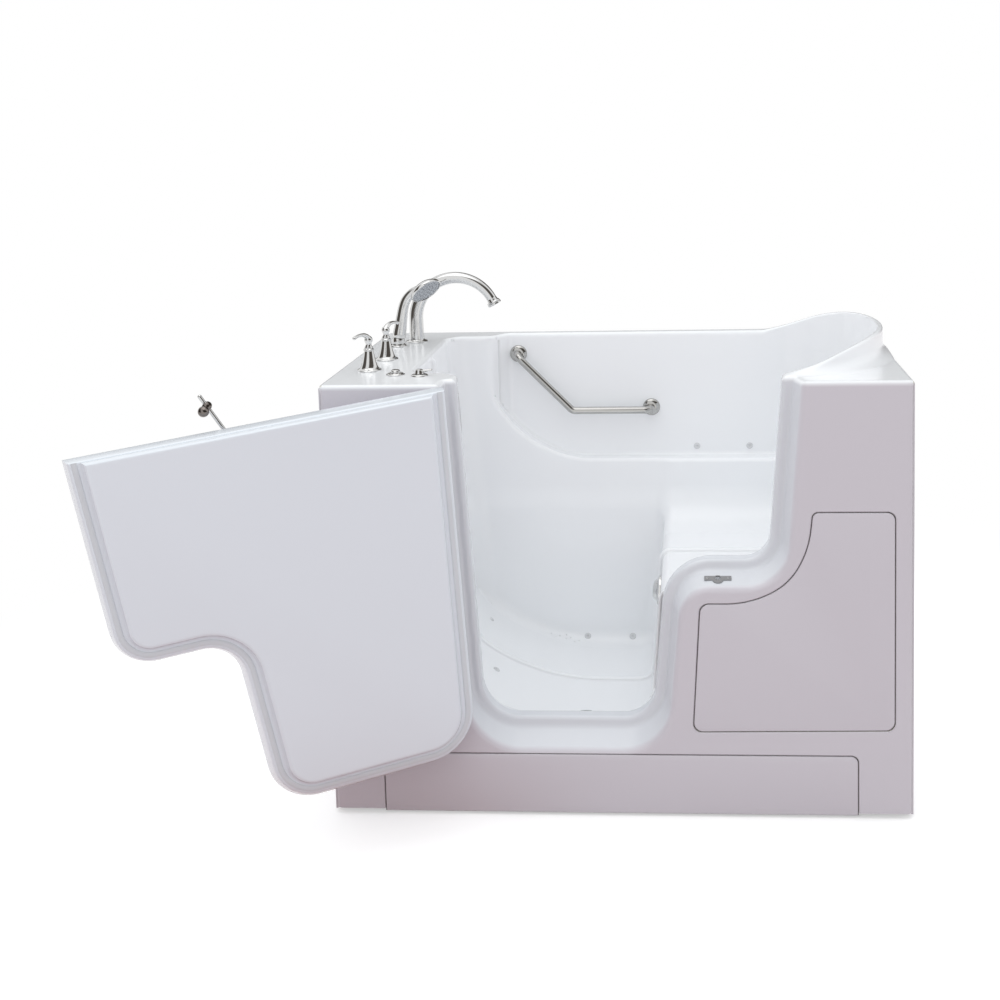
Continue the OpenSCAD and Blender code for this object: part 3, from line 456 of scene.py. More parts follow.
def inset(corners, by):
    """A counter-clockwise outline with each edge moved inwards by its own distance."""
    pts = np.array(corners, float)
    along = np.roll(pts, -1, axis=0) - pts
    along /= np.hypot(*along.T)[:, None]
    moved = pts + np.stack([-along[:, 1], along[:, 0]], axis=1) * np.broadcast_to(by, len(pts))[:, None]
    met = []
    for k in range(len(pts)):
        p, d, q, e = moved[k - 1], along[k - 1], moved[k], along[k]
        met.append(p + d * crossed(q - p, e) / crossed(d, e))
    return np.array(met)


def outward(piece, crease=30):
    """Merges a closed piece's doubles, points its faces outwards and marks its creases."""
    shape = bmesh.new()
    shape.from_mesh(piece.data)
    bmesh.ops.remove_doubles(shape, verts=shape.verts, dist=1e-6)
    bmesh.ops.dissolve_degenerate(shape, edges=shape.edges, dist=1e-7)
    if shape.calc_volume(signed=True) < 0:
        bmesh.ops.reverse_faces(shape, faces=shape.faces)
    for edge in shape.edges:
        edge.smooth = edge.calc_face_angle(0) < math.radians(crease)
    shape.to_mesh(piece.data)
    shape.free()
    return piece


def lofted(name, rings, crease=30):
    """A closed skin over rings of the same number of points in millimetres, with flat ends."""
    rings = np.array(rings, float)
    count, around = rings.shape[:2]
    faces = [tuple(range(around))[::-1], tuple((count - 1) * around + i for i in range(around))]
    for k in range(count - 1):
        for i in range(around):
            a, b = k * around + i, k * around + (i + 1) % around
            faces.append((a, b, b + around, a + around))
    return outward(mesh_object(name, rings.reshape(-1, 3) * MM, faces), crease)


def upright(outline, y):
    """An [x, z] outline, stood up at that y."""
    return np.stack([outline[:, 0], np.full(len(outline), y), outline[:, 1]], axis=1)


ACCESS = ((172, 206), (629, 212), (629, 721), (447, 721), (438, 640), (395, 555), (300, 508), (191, 508))
ACCESS_RADII = (20, 20, 18, 14, 220, 150, 220, 22)
KICK_LOW, KICK_HIGH, KICK_RADIUS = (-551.0, 8.0), (546.0, 148.0), 16
KICK = (KICK_LOW, (KICK_HIGH[0], KICK_LOW[1]), KICK_HIGH, (KICK_LOW[0], KICK_HIGH[1]))
PANEL_GAP = 2.5
BOLT, BOLT_HOLE, BOLT_BORE = (232.0, -350.0), 6.5, 5.5
DRAIN, DRAIN_HOLE = (-90.0, -180.0), 25.0


def access_outline(grow):
    return rounded(inset(ACCESS, -grow), ACCESS_RADII)


def kick_outline(grow):
    return rounded(inset(KICK, -grow), (0, 0, KICK_RADIUS, KICK_RADIUS))


def disc(centre, radius, z, sides=40):
    turn = np.arange(sides) * 2 * math.pi / sides
    x, y = centre[0] + radius * np.cos(turn), centre[1] + radius * np.sin(turn)
    return np.stack([x, y, np.full(sides, z)], axis=1)


def material_faces(piece, choose):
    """Gives each face the material that choose says for its centre in millimetres."""
    centres = np.empty(len(piece.data.polygons) * 3)
    piece.data.polygons.foreach_get("center", centres)
    picked = choose(*(centres.reshape(-1, 3) / MM).T).astype(np.int32)
    piece.data.polygons.foreach_set("material_index", picked)


def acrylic(name, colour, skirt=None):
    """Glossy cast acrylic with faint waves and finer marks in its gloss; with skirt tones, painted shade
    makes the front face and the way-in darker and greyer.
    """
    material, shader, place = new_material(name)
    tone = noise(place, 2.2, 3.0).mix(tuple(c * 0.985 for c in colour) + (1,), (*colour, 1))
    if skirt:
        # Painted shade: on the front moulding the front face is darkest and the way-in a little less dark
        # than that, standing in for the lesser light on them.
        at = place.node("ShaderNodeSeparateXYZ", None, Vector=place)
        moulding = at("Y").between(-0.283, -0.291) * at("Z").between(1.019, 1.009)
        face = at("Y").between(-0.368, -0.379)
        tone = moulding.mix(tone, face.mix((*SHADED_WAY_IN_TONE, 1), (*skirt, 1)))
    feed(
        shader, Base_Color=tone, Roughness=noise(place, 38.0, 4.0) * 0.06 + 0.19, IOR=1.49,
        Normal=bump(noise(place, 16.0, 1.0), 0.05, 0.002), Coat_Weight=0.15, Coat_Roughness=0.12,
    )
    return material


def glass_fibre(name):
    """The moulding's rough back: chopped glass strand in pale resin."""
    material, shader, place = new_material(name)
    strands = noise(place, 420.0, 2.0, (1, 1, 0.25)) * 0.5 + noise(place, 380.0, 2.0, (0.2, 1, 1)) * 0.5
    clouds = noise(place, 7.0, 4.0)
    tone = (strands * 0.6 + clouds * 0.4).mix((0.50, 0.49, 0.42, 1), (0.74, 0.73, 0.66, 1))
    feed(shader, Base_Color=tone, Roughness=strands * 0.3 + 0.4, Normal=bump(strands, 0.5, 0.0015))
    return material


# Painted shade: darker, greyer tones of the same white acrylic, for the lesser light on the upright front
# face and in the way-in.
SHADED_SKIRT_TONE = (0.668, 0.645, 0.690)
SHADED_WAY_IN_TONE = (0.722, 0.742, 0.780)
white_acrylic = acrylic("white_acrylic", (0.923, 0.940, 0.960), SHADED_SKIRT_TONE)
skirt_acrylic = acrylic("skirt_acrylic", SHADED_SKIRT_TONE)
door_acrylic = acrylic("door_acrylic", (0.80, 0.842, 0.893))
SHELL_STEP, SHELL_KEEP = 6.0, 0.40
points, faces = skin_of(tub_field, (-685, -393, -4), (685, 393, 1110), SHELL_STEP)
tub_shell = mesh_object("tub_shell", settle(tub_field, points) * MM, faces)
shape = bmesh.new()
shape.from_mesh(tub_shell.data)


def by_lip(verts):
    """Which of these vertices lie on the headrest's lip or its foot."""
    x, y, z = np.array([v.co for v in verts]).T / MM
    return (np.abs(head_ellipse(x, y, 8)) < 50) & (z > 1012) & (x > 392)


held = {v for v, near in zip(shape.verts, by_lip(shape.verts)) if near}
split = [e for e in shape.edges if held.issuperset(e.verts)]
bmesh.ops.subdivide_edges(shape, edges=split, cuts=1, use_grid_fill=True)
shape.verts.index_update()
near = by_lip(shape.verts)
fine = [v for v, chosen in zip(shape.verts, near) if chosen]
for vert, spot in zip(fine, settle(tub_field, np.array([v.co for v in fine]) / MM)):
    vert.co = spot * MM
shape.to_mesh(tub_shell.data)
shape.free()
thinned = tub_shell.vertex_groups.new(name="thinned")
thinned.add(np.flatnonzero(~near).tolist(), 1.0, "REPLACE")
finished(tub_shell, ("DECIMATE", {"ratio": SHELL_KEEP, "vertex_group": "thinned"}))
tub_shell.vertex_groups.clear()
outward(tub_shell)
PANEL_CUT = ((2, -4), (2, -0.2), (0, 1.8), (0, 30))
holes = [
    lofted("hole", [upright(outline(PANEL_GAP + grow), FRONT + y) for grow, y in PANEL_CUT])
    for outline in (access_outline, kick_outline)
]
holes.append(lofted("hole", [disc(BOLT, BOLT_HOLE, 500), disc(BOLT, BOLT_HOLE, 600)]))
holes.append(lofted("hole", [disc(DRAIN, DRAIN_HOLE, 100), disc(DRAIN, DRAIN_HOLE, 170)]))
cut_out(tub_shell, *holes)
true_normals(tub_shell, tub_field)
tub_shell.data.materials.clear()
tub_shell.data.materials.append(white_acrylic)
tub_shell.data.materials.append(glass_fibre("glass_fibre_back"))
material_faces(tub_shell, lambda x, y, z: (
    (z < DECK - 2) & (y > FRONT + 4) & (basin_void(x, y, z) > 9) & (way_in_field(x, y, z)[2] > 9)
))
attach(tub_shell, "tub")
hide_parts("deck_moulding", "basin_moulding", "seat_moulding", "front_moulding")
print("tub shell", len(tub_shell.data.polygons))

# ---------------------------------------------------------------- front panels
# A big access panel beside the door and a kick panel along the foot, each a shallow acrylic
# tray with softened edges that springs onto clips behind the skirt. A dark grey strip behind the
# edge is painted shade: it darkens the gap as the shade there would.


def gathered(name, *pieces):
    """One piece from several closed ones."""
    shape = bmesh.new()
    for piece in pieces:
        shape.from_mesh(piece.data)
        bpy.data.objects.remove(piece)
    mesh = bpy.data.meshes.new(name)
    shape.to_mesh(mesh)
    shape.free()
    made = bpy.data.objects.new(name, mesh)
    scene.collection.objects.link(made)
    return made


PANEL_EDGE = ((0, 5.0), (0, 2.0), (-0.3, 1.0), (-0.9, 0.3), (-2.0, 0))
# Painted shade: a dark grey strip behind each panel's edge stands in for the shade in the gap.
gap_shade, shader, place = new_material("foam_strip")
gap_shade_grain = noise(place, 900.0, 2.0)
gap_shade_tone = gap_shade_grain.mix((0.19, 0.175, 0.18, 1), (0.28, 0.26, 0.27, 1))
feed(shader, Base_Color=gap_shade_tone, Roughness=0.9, Normal=bump(gap_shade_grain, 0.5, 0.0005))
for name, outline in (("access_panel", access_outline), ("kick_panel", kick_outline)):
    tray = lofted("tray", [upright(outline(grow), FRONT + y) for grow, y in PANEL_EDGE], 20)
    strip = lofted("strip", [upright(outline(PANEL_GAP - 0.2), FRONT + y) for y in (6.6, 5.2)], 20)
    panel = gathered(f"{name}_face", tray, strip)
    # The panel's face takes the skirt's darker tone, which is painted shade.
    panel.data.materials.append(skirt_acrylic)
    panel.data.materials.append(gap_shade)
    material_faces(panel, lambda x, y, z: y > FRONT + 5.1)
    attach(panel, "tub")
    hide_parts(name)


def dress(material, *nodes):
    """Gives kept parts of the frame their finish."""
    for node in nodes:
        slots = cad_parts[node].data.materials
        slots.clear()
        slots.append(material)


# The end panels take the skirt's darker tone too, which is painted shade.
dress(skirt_acrylic, "left_end_panel", "right_end_panel")

# ---------------------------------------------------------------- door
# Two thermoformed acrylic skins meet in a fine seam round the slab's edge; the inner skin has
# the raised plug that fills the doorway. It is drawn closed, then swung to where it stands.

DOOR_GAP, DOOR_TOP, SLAB, SKIN, SEAM, PLUG_INSET = 4.0, 1021.0, 57.0, 4.0, 30.0, 31.0
PLUG_FOOT = ((-8, 0, 4), (-5, 0.5, 3.6), (-2.5, 2, 3.2), (-0.7, 4.5, 3), (4, 14, 4))
HINGE_SLOPE = (OPENING[0][0] - OPENING[1][0]) / (OPENING[0][1] - OPENING[1][1])
HINGE_Z, KNUCKLE_R = 250.0, 4.5
HINGE_X = OPENING[1][0] + (HINGE_Z - OPENING[1][1]) * HINGE_SLOPE + 6
HINGE_FOOT = MM * Vector((HINGE_X, FRONT - KNUCKLE_R - 0.4, HINGE_Z))
HINGE_AXIS = Vector((HINGE_SLOPE, 0.0, 1.0)).normalized()
STANDS_OPEN = Matrix.Rotation(math.radians(-158), 4, HINGE_AXIS)
swing = Matrix.Translation(HINGE_FOOT) @ STANDS_OPEN @ Matrix.Translation(-HINGE_FOOT)


def opening_outline(depth, gap, top):
    """The door opening's outline at a depth behind the front face, drawn in by gap."""
    drawn_in = [lean * depth / RECESS + gap for lean in OPENING_LEAN] + [DECK - top]
    mean = gap + depth / 4
    sill_left, sill_right, step_foot, step_end = OPENING_RADII
    radii = (0, sill_left - mean, sill_right - mean, step_foot + mean, step_end - mean, 0)
    return rounded(inset(OPENING, drawn_in), radii)


def door_ring(gap, depth, drop):
    """The door's outline at a depth, drawn in by gap, with its top edge lowered by drop."""
    return upright(opening_outline(min(depth, SLAB), gap, DOOR_TOP - drop), FRONT + depth)


def quarter(start, stop, steps=6):
    """Profile points of a quarter round from start to stop, leaving start along its depth."""
    points = []
    for t in np.linspace(0, math.pi / 2, steps):
        shares = (1 - math.cos(t), math.sin(t), 1 - math.cos(t))
        points.append(tuple(a + (b - a) * share for a, b, share in zip(start, stop, shares)))
    return points


def seated(piece, body, slot, material, *nodes):
    """Hands a finished piece to its body, with its finish and the nodes that it stands for."""
    if material:
        piece.data.materials.append(material)
    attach(piece, body)
    if nodes:
        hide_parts(*nodes)


def swung(piece, body, slot, material, *nodes):
    """Swings a finished door piece open before it is handed over."""
    piece.data.transform(swing)
    seated(piece, body, slot, material, *nodes)


outer = [(DOOR_GAP + SKIN, SEAM - 0.4, SKIN), (DOOR_GAP + SKIN, SKIN, SKIN)]
outer = outer[::-1] + [(DOOR_GAP, SEAM - 0.4, 0)] + quarter((DOOR_GAP, 9, 0), (DOOR_GAP + 9, 0, 7), 8)
outer_skin = lofted("door_outer_skin_face", [door_ring(*p) for p in outer], 25)
inner = [(DOOR_GAP + SKIN, SLAB - SKIN, SKIN), (DOOR_GAP + SKIN, SEAM + 0.4, SKIN), (DOOR_GAP, SEAM + 0.4, 0)]
inner += quarter((DOOR_GAP, SLAB - 6, 0), (DOOR_GAP + 6, SLAB, 4))
inner += [(PLUG_INSET + a, SLAB + b, drop) for a, b, drop in PLUG_FOOT]
inner += [
    (PLUG_INSET + 4 + 9 * (1 - math.cos(t)), SLAB + 14 + 7 * math.sin(t), 4 + 7 * (1 - math.cos(t)))
    for t in np.linspace(0.25, math.pi / 2, 7)
]
inner_skin = lofted("door_inner_skin_face", [door_ring(*p) for p in inner], 25)
for skin, node in ((outer_skin, "door_outer_skin"), (inner_skin, "door_inner_skin")):
    cut_out(skin, lofted("bolt_bore", [disc(BOLT, BOLT_BORE, 500, 24), disc(BOLT, BOLT_BORE, 590, 24)]))
    outward(skin, 25)
    skin.data.materials.clear()
    swung(skin, "door", "door_acrylic", door_acrylic, node)

# ---------------------------------------------------------------- door seal and board
# A pale hollow silicone seal runs down, round and up again on the slab's ledge, open at the
# top; it presses on the frame's stop. A plywood board stiffens the slab between the skins.


def plastic(name, colour, roughness, grain=900.0, relief=0.15, cloud=0.94):
    """Moulded plastic or rubber: an even tone with soft clouds and a fine grain in its skin."""
    material, shader, place = new_material(name)
    skin_grain = noise(place, grain, 2.0)
    tone = noise(place, 12.0, 3.0).mix(tuple(c * cloud for c in colour) + (1,), (*colour, 1))
    feed(
        shader, Base_Color=tone, Roughness=skin_grain * 0.12 + roughness,
        Normal=bump(skin_grain, relief, 0.0003),
    )
    return material


lips = []
for t in np.linspace(0, math.pi, 9):
    gap, depth = 10 + 6 * (1 - math.cos(t)), SLAB + 0.05 + 2.4 * math.sin(t) ** 0.7
    lips.append(upright(opening_outline(SLAB, gap, DOOR_TOP - 1), FRONT + depth))
seal = lofted("door_gasket_face", np.array(lips).transpose(1, 0, 2), 50)
silicone = plastic("seal_silicone", (0.72, 0.75, 0.78), 0.45, 500.0, 0.1)
swung(seal, "door", "seal_rubber", silicone, "door_gasket")

plywood, shader, place = new_material("plywood")
ply = noise(place, 26.0, 5.0, (1, 1, 0.12))
feed(
    shader, Base_Color=ply.mix((0.52, 0.35, 0.19, 1), (0.78, 0.61, 0.40, 1)), Roughness=ply * 0.2 + 0.6,
    Normal=bump(ply, 0.25, 0.0008),
)
dress(plywood, "door_core")

# ---------------------------------------------------------------- hinge and screws
# A long brushed stainless hinge of fifteen knuckles carries the door. Pan-head screws with a
# cross recess hold its leaves, and smaller ones hold the strike plate.


def metal(name, colour, roughness, grain=(1, 1, 1), grit=0.0, dull=0.93):
    """Metal: faint clouds in its tone and gloss, and a brushed grain where there is one."""
    material, shader, place = new_material(name)
    clouds = noise(place, 45.0, 3.0)
    streaks = noise(place, 700.0, 3.0, grain)
    tone = clouds.mix(tuple(c * dull for c in colour) + (1,), (*colour, 1))
    feed(
        shader, Base_Color=tone, Metallic=1.0, Roughness=streaks * grit + clouds * 0.04 + roughness,
        Normal=bump(streaks, 0.04 + grit, 0.0002),
    )
    return material


def round_form(name, profile, place=(0, 0, 0), aim=(0, 0, 1), sides=40, crease=30):
    """A turned form from [radius, height] points along aim; a profile that stays off the axis is a ring."""
    turn = np.arange(sides) * 2 * math.pi / sides
    lean = np.array(Vector((0, 0, 1)).rotation_difference(Vector(aim)).to_matrix())
    rings = np.array([
        np.stack([r * np.cos(turn), r * np.sin(turn), np.full(sides, h)], axis=1) @ lean.T + np.array(place)
        for r, h in profile
    ])
    last = len(profile)
    hollow = profile[0][0] > 0 and profile[-1][0] > 0
    faces = []
    for k in range(last if hollow else last - 1):
        for i in range(sides):
            a, b = k * sides, (k + 1) % last * sides
            faces.append((a + i, a + (i + 1) % sides, b + (i + 1) % sides, b + i))
    return outward(mesh_object(name, rings.reshape(-1, 3) * MM, faces), crease)


def repeated(name, part, spots, material, most_turn=0.0, seed=4):
    """Sets one part at each (place, aim) of spots, with a chance turn about its aim."""
    mesh = bpy.data.meshes.new(name)
    mesh.from_pydata([tuple(MM * c for c in spot) for spot, _ in spots], [], [])
    aims = mesh.attributes.new("aim", "FLOAT_VECTOR", "POINT")
    aims.data.foreach_set("vector", [c for _, aim in spots for c in aim])
    holder = bpy.data.objects.new(name, mesh)
    scene.collection.objects.link(holder)
    tree = bpy.data.node_groups.new(f"{name}_rule", "GeometryNodeTree")
    sockets = {}
    for label, kind in (
        ("Places", "Geometry"), ("Part", "Object"), ("Most Turn", "Float"), ("Seed", "Int"),
        ("Finish", "Material")
    ):
        socket = tree.interface.new_socket(label, in_out="INPUT", socket_type=f"NodeSocket{kind}")
        sockets[label] = socket.identifier
    tree.interface.new_socket("Pieces", in_out="OUTPUT", socket_type="NodeSocketGeometry")
    given, out, info, aim, turn, lean, spin, both, place, real, finish = (tree.nodes.new(kind) for kind in (
        "NodeGroupInput", "NodeGroupOutput", "GeometryNodeObjectInfo", "GeometryNodeInputNamedAttribute",
        "FunctionNodeRandomValue", "FunctionNodeAlignRotationToVector", "FunctionNodeAxisAngleToRotation",
        "FunctionNodeRotateRotation", "GeometryNodeInstanceOnPoints", "GeometryNodeRealizeInstances",
        "GeometryNodeSetMaterial",
    ))
    aim.data_type, aim.inputs["Name"].default_value = "FLOAT_VECTOR", "aim"
    turn.data_type, lean.axis, both.rotation_space = "FLOAT", "Z", "LOCAL"
    spin.inputs["Axis"].default_value = (0, 0, 1)
    for start, output, end, entry in (
        (given, "Part", info, "Object"), (aim, "Attribute", lean, "Vector"), (given, "Most Turn", turn, 3),
        (given, "Seed", turn, "Seed"), (turn, 1, spin, "Angle"), (lean, "Rotation", both, "Rotation"),
        (spin, "Rotation", both, "Rotate By"), (given, "Places", place, "Points"),
        (info, "Geometry", place, "Instance"), (both, "Rotation", place, "Rotation"),
        (place, "Instances", real, "Geometry"), (real, "Geometry", finish, "Geometry"),
        (given, "Finish", finish, "Material"), (finish, "Geometry", out, "Pieces"),
    ):
        tree.links.new(start.outputs[output], end.inputs[entry])
    rule = holder.modifiers.new("rule", "NODES")
    rule.node_group = tree
    for label, value in (("Part", part), ("Most Turn", most_turn), ("Seed", seed), ("Finish", material)):
        rule[sockets[label]] = value
    finished(holder)
    bpy.data.objects.remove(part)
    return holder


def pan_screw(radius):
    """A pan head with a cross recess, on a short shank."""
    head = round_form("pan_screw", [(radius * share, z) for share, z in (
        (0, 1.3), (0.45, 1.25), (0.8, 0.95), (0.96, 0.5), (1, 0.02), (0.5, 0.02), (0.5, -1.9), (0, -1.9)
    )], sides=28)
    wide, slim = radius * 0.55, radius * 0.14
    arm, cross = [(wide, -slim), (wide, slim), (slim, slim)], []
    for _ in range(4):
        cross += arm
        arm = [(-y, x) for x, y in arm]
    recess = lofted("recess", [[(x * k, y * k, z) for x, y in cross] for k, z in ((0.6, 0.5), (1.0, 2.0))])
    cut_out(head, recess)
    return outward(head)


HINGE_L, LEAF_T, SCREW_ROWS, ANY_TURN = 720.0, 1.5, 8, 6.28
# Painted shade: this brushed steel is darkened well below bare stainless, so the hinge reads as the dark line
# of shade between door and jamb; the strike plate, bolt housing and clips share it.
brushed_steel = metal("brushed_steel", (0.30, 0.30, 0.31), 0.24, (1, 1, 0.04), 0.22)
screw_steel = metal("screw_steel", (0.42, 0.42, 0.43), 0.24, (1, 1, 1), 0.10)
dress(brushed_steel, "jamb_hinge_leaf", "door_hinge_leaf", "strike_plate", "bolt_housing", "panel_clips")
dress(screw_steel, "hinge_pin")


def hinge_spots(side):
    """Where the hinge screws' heads sit, on the jamb's leaf (side -1) or the door's (side 1)."""
    up, along = Vector(HINGE_AXIS), Vector((HINGE_AXIS.z, 0, -HINGE_AXIS.x))
    spots = []
    for row in range(SCREW_ROWS):
        where = HINGE_FOOT / MM + along * side * 24 + up * HINGE_L * (row + 0.5) / SCREW_ROWS
        spots.append(((where.x, FRONT - LEAF_T, where.z), (0, -1, 0)))
    return spots


STEP_SLOPE = math.atan(OPENING_LEAN[3] / RECESS)
STRIKE = Vector((BOLT[0], BOLT[1], OPENING[3][1] + (BOLT[1] - FRONT) * math.tan(STEP_SLOPE)))
strike_up = Vector((0, -math.sin(STEP_SLOPE), math.cos(STEP_SLOPE)))
strike_spots = [(tuple(STRIKE + Vector((x, 0, 0)) + strike_up * 2.0), tuple(strike_up)) for x in (-24, 24)]
frame_screws = gathered(
    "frame_screws_face",
    repeated("jamb_screws", pan_screw(4.5), hinge_spots(-1), screw_steel, ANY_TURN),
    repeated("keeper_screws", pan_screw(3.6), strike_spots, screw_steel, ANY_TURN, 9),
)
seated(frame_screws, "tub", "screw_steel", screw_steel, "frame_screws")
door_screws = repeated("door_hinge_screws_face", pan_screw(4.5), hinge_spots(1), screw_steel, ANY_TURN, 7)
swung(door_screws, "door", "screw_steel", None, "door_hinge_screws")

# ---------------------------------------------------------------- latch
# On the door's outer face a chrome rod on a round boss is swung to draw the bolt; it stands
# above the door's edge and carries a dark polished ball for the hand.


def flowing(stops, steps=8):
    """A smooth run through rows of numbers, such as a place and a radius."""
    rows = np.array(stops, float)
    rows = np.concatenate([[2 * rows[0] - rows[1]], rows, [2 * rows[-1] - rows[-2]]])
    run = []
    for a, b, c, d in zip(rows, rows[1:], rows[2:], rows[3:]):
        square, cube = 2 * a - 5 * b + 4 * c - d, 3 * b - a - 3 * c + d
        for t in np.linspace(0, 1, steps, endpoint=False):
            run.append(0.5 * (2 * b + (c - a) * t + square * t ** 2 + cube * t ** 3))
    return np.array(run + [rows[-2]])


def bent(corners, radius, steps=8):
    """A path through corners, with a round bend at each inner one."""
    corners = [Vector(c) for c in corners]
    path = [corners[0]]
    for a, b, c in zip(corners, corners[1:], corners[2:]):
        u, v = (b - a).normalized(), (c - b).normalized()
        turn = u.angle(v)
        start, side = b - u * radius * math.tan(turn / 2), (v - u * u.dot(v)).normalized()
        for t in np.linspace(0, turn, steps):
            path.append(start + side * radius * (1 - math.cos(t)) + u * radius * math.sin(t))
    return np.array([tuple(p) for p in path + [corners[-1]]])


def drawn_bar(name, path, radius, sides=24, domed=(True, True), flat=1.0):
    """A round bar drawn along a path, its ends domed; flat thins it across its first side."""
    path = np.array(path, float)
    radius = np.broadcast_to(np.array(radius, float), len(path))
    along = np.gradient(path, axis=0)
    along /= np.linalg.norm(along, axis=1)[:, None]
    side = np.cross(along[0], (0.0, 1.0, 0.0) if abs(along[0][1]) < 0.8 else (1.0, 0.0, 0.0))
    rows = []
    for place, way, r in zip(path, along, radius):
        side = side - way * (side @ way)
        side /= np.linalg.norm(side)
        rows.append((place, way, side, r))
    first, last = (
        [(at + sign * way * r * math.sin(t), way, side, r * math.cos(t)) for t in np.linspace(0.15, 1.5, 6)]
        for sign, (at, way, side, r) in ((-1, rows[0]), (1, rows[-1]))
    )
    rows = (first[::-1] if domed[0] else []) + rows + (last if domed[1] else [])
    turn = np.arange(sides)[:, None] * 2 * math.pi / sides
    rings = [p + r * (flat * np.cos(turn) * s + np.sin(turn) * np.cross(w, s)) for p, w, s, r in rows]
    return lofted(name, rings, 40)


LATCH, ROD_Y, ROD_LEAN, ROD_L, ROD_R = (65.0, 964.0), FRONT - 19, math.radians(25.5), 149.0, 4.5
BALL_ALONG, BALL_OUT, BALL_R = 118.0, Vector((9.0, 25.0, -5.0)), 12
chrome = metal("polished_chrome", (0.70, 0.70, 0.695), 0.05)
dark_chrome = metal("dark_chrome", (0.22, 0.195, 0.18), 0.10)
boss = round_form("latch_plate_face", [
    (0, 28), (5.6, 28), (7, 27), (7, 6), (18, 6), (23, 5.4), (26.5, 4), (28, 1.8), (28, 0.1), (0, 0.1)
], (LATCH[0], FRONT, LATCH[1]), (0, -1, 0))
swung(boss, "door", "chrome_fittings", chrome, "latch_plate")


def along_rod(far):
    return Vector((LATCH[0] + far * math.sin(ROD_LEAN), ROD_Y, LATCH[1] + far * math.cos(ROD_LEAN)))


hub = round_form("hub", [
    (7.3, 6.6), (13, 6.6), (15, 8.5), (15, 21), (14.2, 23.5), (12, 25.5), (9.5, 27), (7.3, 27)
], (LATCH[0], FRONT, LATCH[1]), (0, -1, 0))
rod_run = [tuple(along_rod(far)) for far in (11, 14, 40, 90, ROD_L - 4.5)]
rod = drawn_bar("rod", rod_run, ROD_R, 20, (False, True))
swung(gathered("latch_lever_face", hub, rod), "latch_arm", "chrome_fittings", chrome, "latch_lever")
ball_run = BALL_OUT.length
profile = [(0, -9), (7, -8.6), (9.4, -7), (10, -4), (10, 4), (9.2, 7), (6.5, 8.6), (5, 10)]
profile.append((4.6, ball_run - BALL_R))
for t in np.linspace(-1.15, math.pi / 2, 14)[:-1]:
    profile.append((BALL_R * math.cos(t), ball_run + BALL_R * math.sin(t)))
profile.append((0, ball_run + BALL_R))
ball = round_form("latch_knob_face", profile, tuple(along_rod(BALL_ALONG)), tuple(BALL_OUT.normalized()), 36)
swung(ball, "latch_arm", "dark_chrome", dark_chrome, "latch_knob")
dress(metal("bright_steel", (0.72, 0.725, 0.73), 0.08, (1, 1, 0.05), 0.08), "latch_bolt")

# ---------------------------------------------------------------- grab bar
# A bright stainless tube with one long slope and one level run, on two domed wall flanges.

BAR_R, BAR_Y, BAR_IN, BAR_KNEE, BAR_BEND = 10.0, 300.0, 339, -148, 20.0
BAR_ENDS = ((-299.0, 342.0, 965.0), (70.0, 342.0, 811.0))
bar_steel = metal("bar_steel", (0.50, 0.495, 0.48), 0.06, (0.05, 1, 0.3), 0.04)
(high_x, _, high_z), (low_x, _, low_z) = BAR_ENDS
rail = drawn_bar("grab_bar_face", bent([
    (high_x, BAR_IN, high_z), (high_x, BAR_Y, high_z), (BAR_KNEE, BAR_Y, low_z), (low_x, BAR_Y, low_z),
    (low_x, BAR_IN, low_z)
], BAR_BEND), BAR_R, 28, (False, False))
seated(rail, "tub", "bright_bar", bar_steel, "grab_bar")
flanges = [round_form("flange", [
    (0, 10), (12, 10), (16, 9.2), (20, 7.2), (22.8, 4.4), (24, 1.5), (24, 0.1), (0, 0.1)
], end, (0, -1, 0)) for end in BAR_ENDS]
seated(gathered("grab_bar_flanges_face", *flanges), "tub", "bright_bar", bar_steel, "grab_bar_flanges")

# ---------------------------------------------------------------- air jets and blower
# Ten small round jets of white plastic blow air into the water. Behind the seat, a blower
# stands on a steel plate and feeds them through a manifold of small nozzles.

RISER_LEAN = math.atan((RISER_HEAD[0] - RISER_FOOT[0]) / (RISER_HEAD[1] - RISER_FOOT[1]))
RAMP_LEAN = math.atan((RAMP_HEAD[1] - RAMP_FOOT[1]) / (RAMP_FOOT[0] - RAMP_HEAD[0]))
riser_aim = (-math.cos(RISER_LEAN), 0, math.sin(RISER_LEAN))
ramp_aim = (math.sin(RAMP_LEAN), 0, math.cos(RAMP_LEAN))


def on_riser(y, z):
    """A place on the seat's riser."""
    return RISER_FOOT[0] + (z - RISER_FOOT[1]) * math.tan(RISER_LEAN), y, z


jet_spots = []
for x, z in ((-236, 180), (-118, 172), (8, 172)):
    lean = math.asin((RAMP_FOOT[1] + WELL_ROUND - z) / 44)
    out = (0, -math.cos(lean), math.sin(lean))
    jet_spots.append(((x, WELL_BACK - WELL_ROUND + 44 * math.cos(lean), z), out))
jet_spots += [((x, BAY_BACK, 699), (0, -1, 0)) for x in (195, 341)]
for x, y in ((-376, 185), (-326, -75)):
    jet_spots.append(((x, y, RAMP_FOOT[1] + (RAMP_FOOT[0] - x) * math.tan(RAMP_LEAN)), ramp_aim))
jet_spots += [(on_riser(120, z), riser_aim) for z in (220, 285, 455)]
jet_part = round_form("jet", [
    (0, 0.2), (2.0, 0.2), (2.4, 1.8), (3.0, 2.3), (5.5, 2.9), (7.6, 2.7), (8.7, 1.7), (9, 0.3), (9, -0.6),
    (5, -0.6), (5, -26), (0, -26)
], sides=32)
jet_white = plastic("jet_white", (0.70, 0.71, 0.725), 0.18, 600.0, 0.08)
jets = repeated("air_jets_face", jet_part, jet_spots, jet_white, 6.28)
seated(jets, "tub", "jet_plastic", None, "air_jets")
pipe_white = plastic("pipe_white", (0.80, 0.80, 0.77), 0.35, 300.0, 0.1)
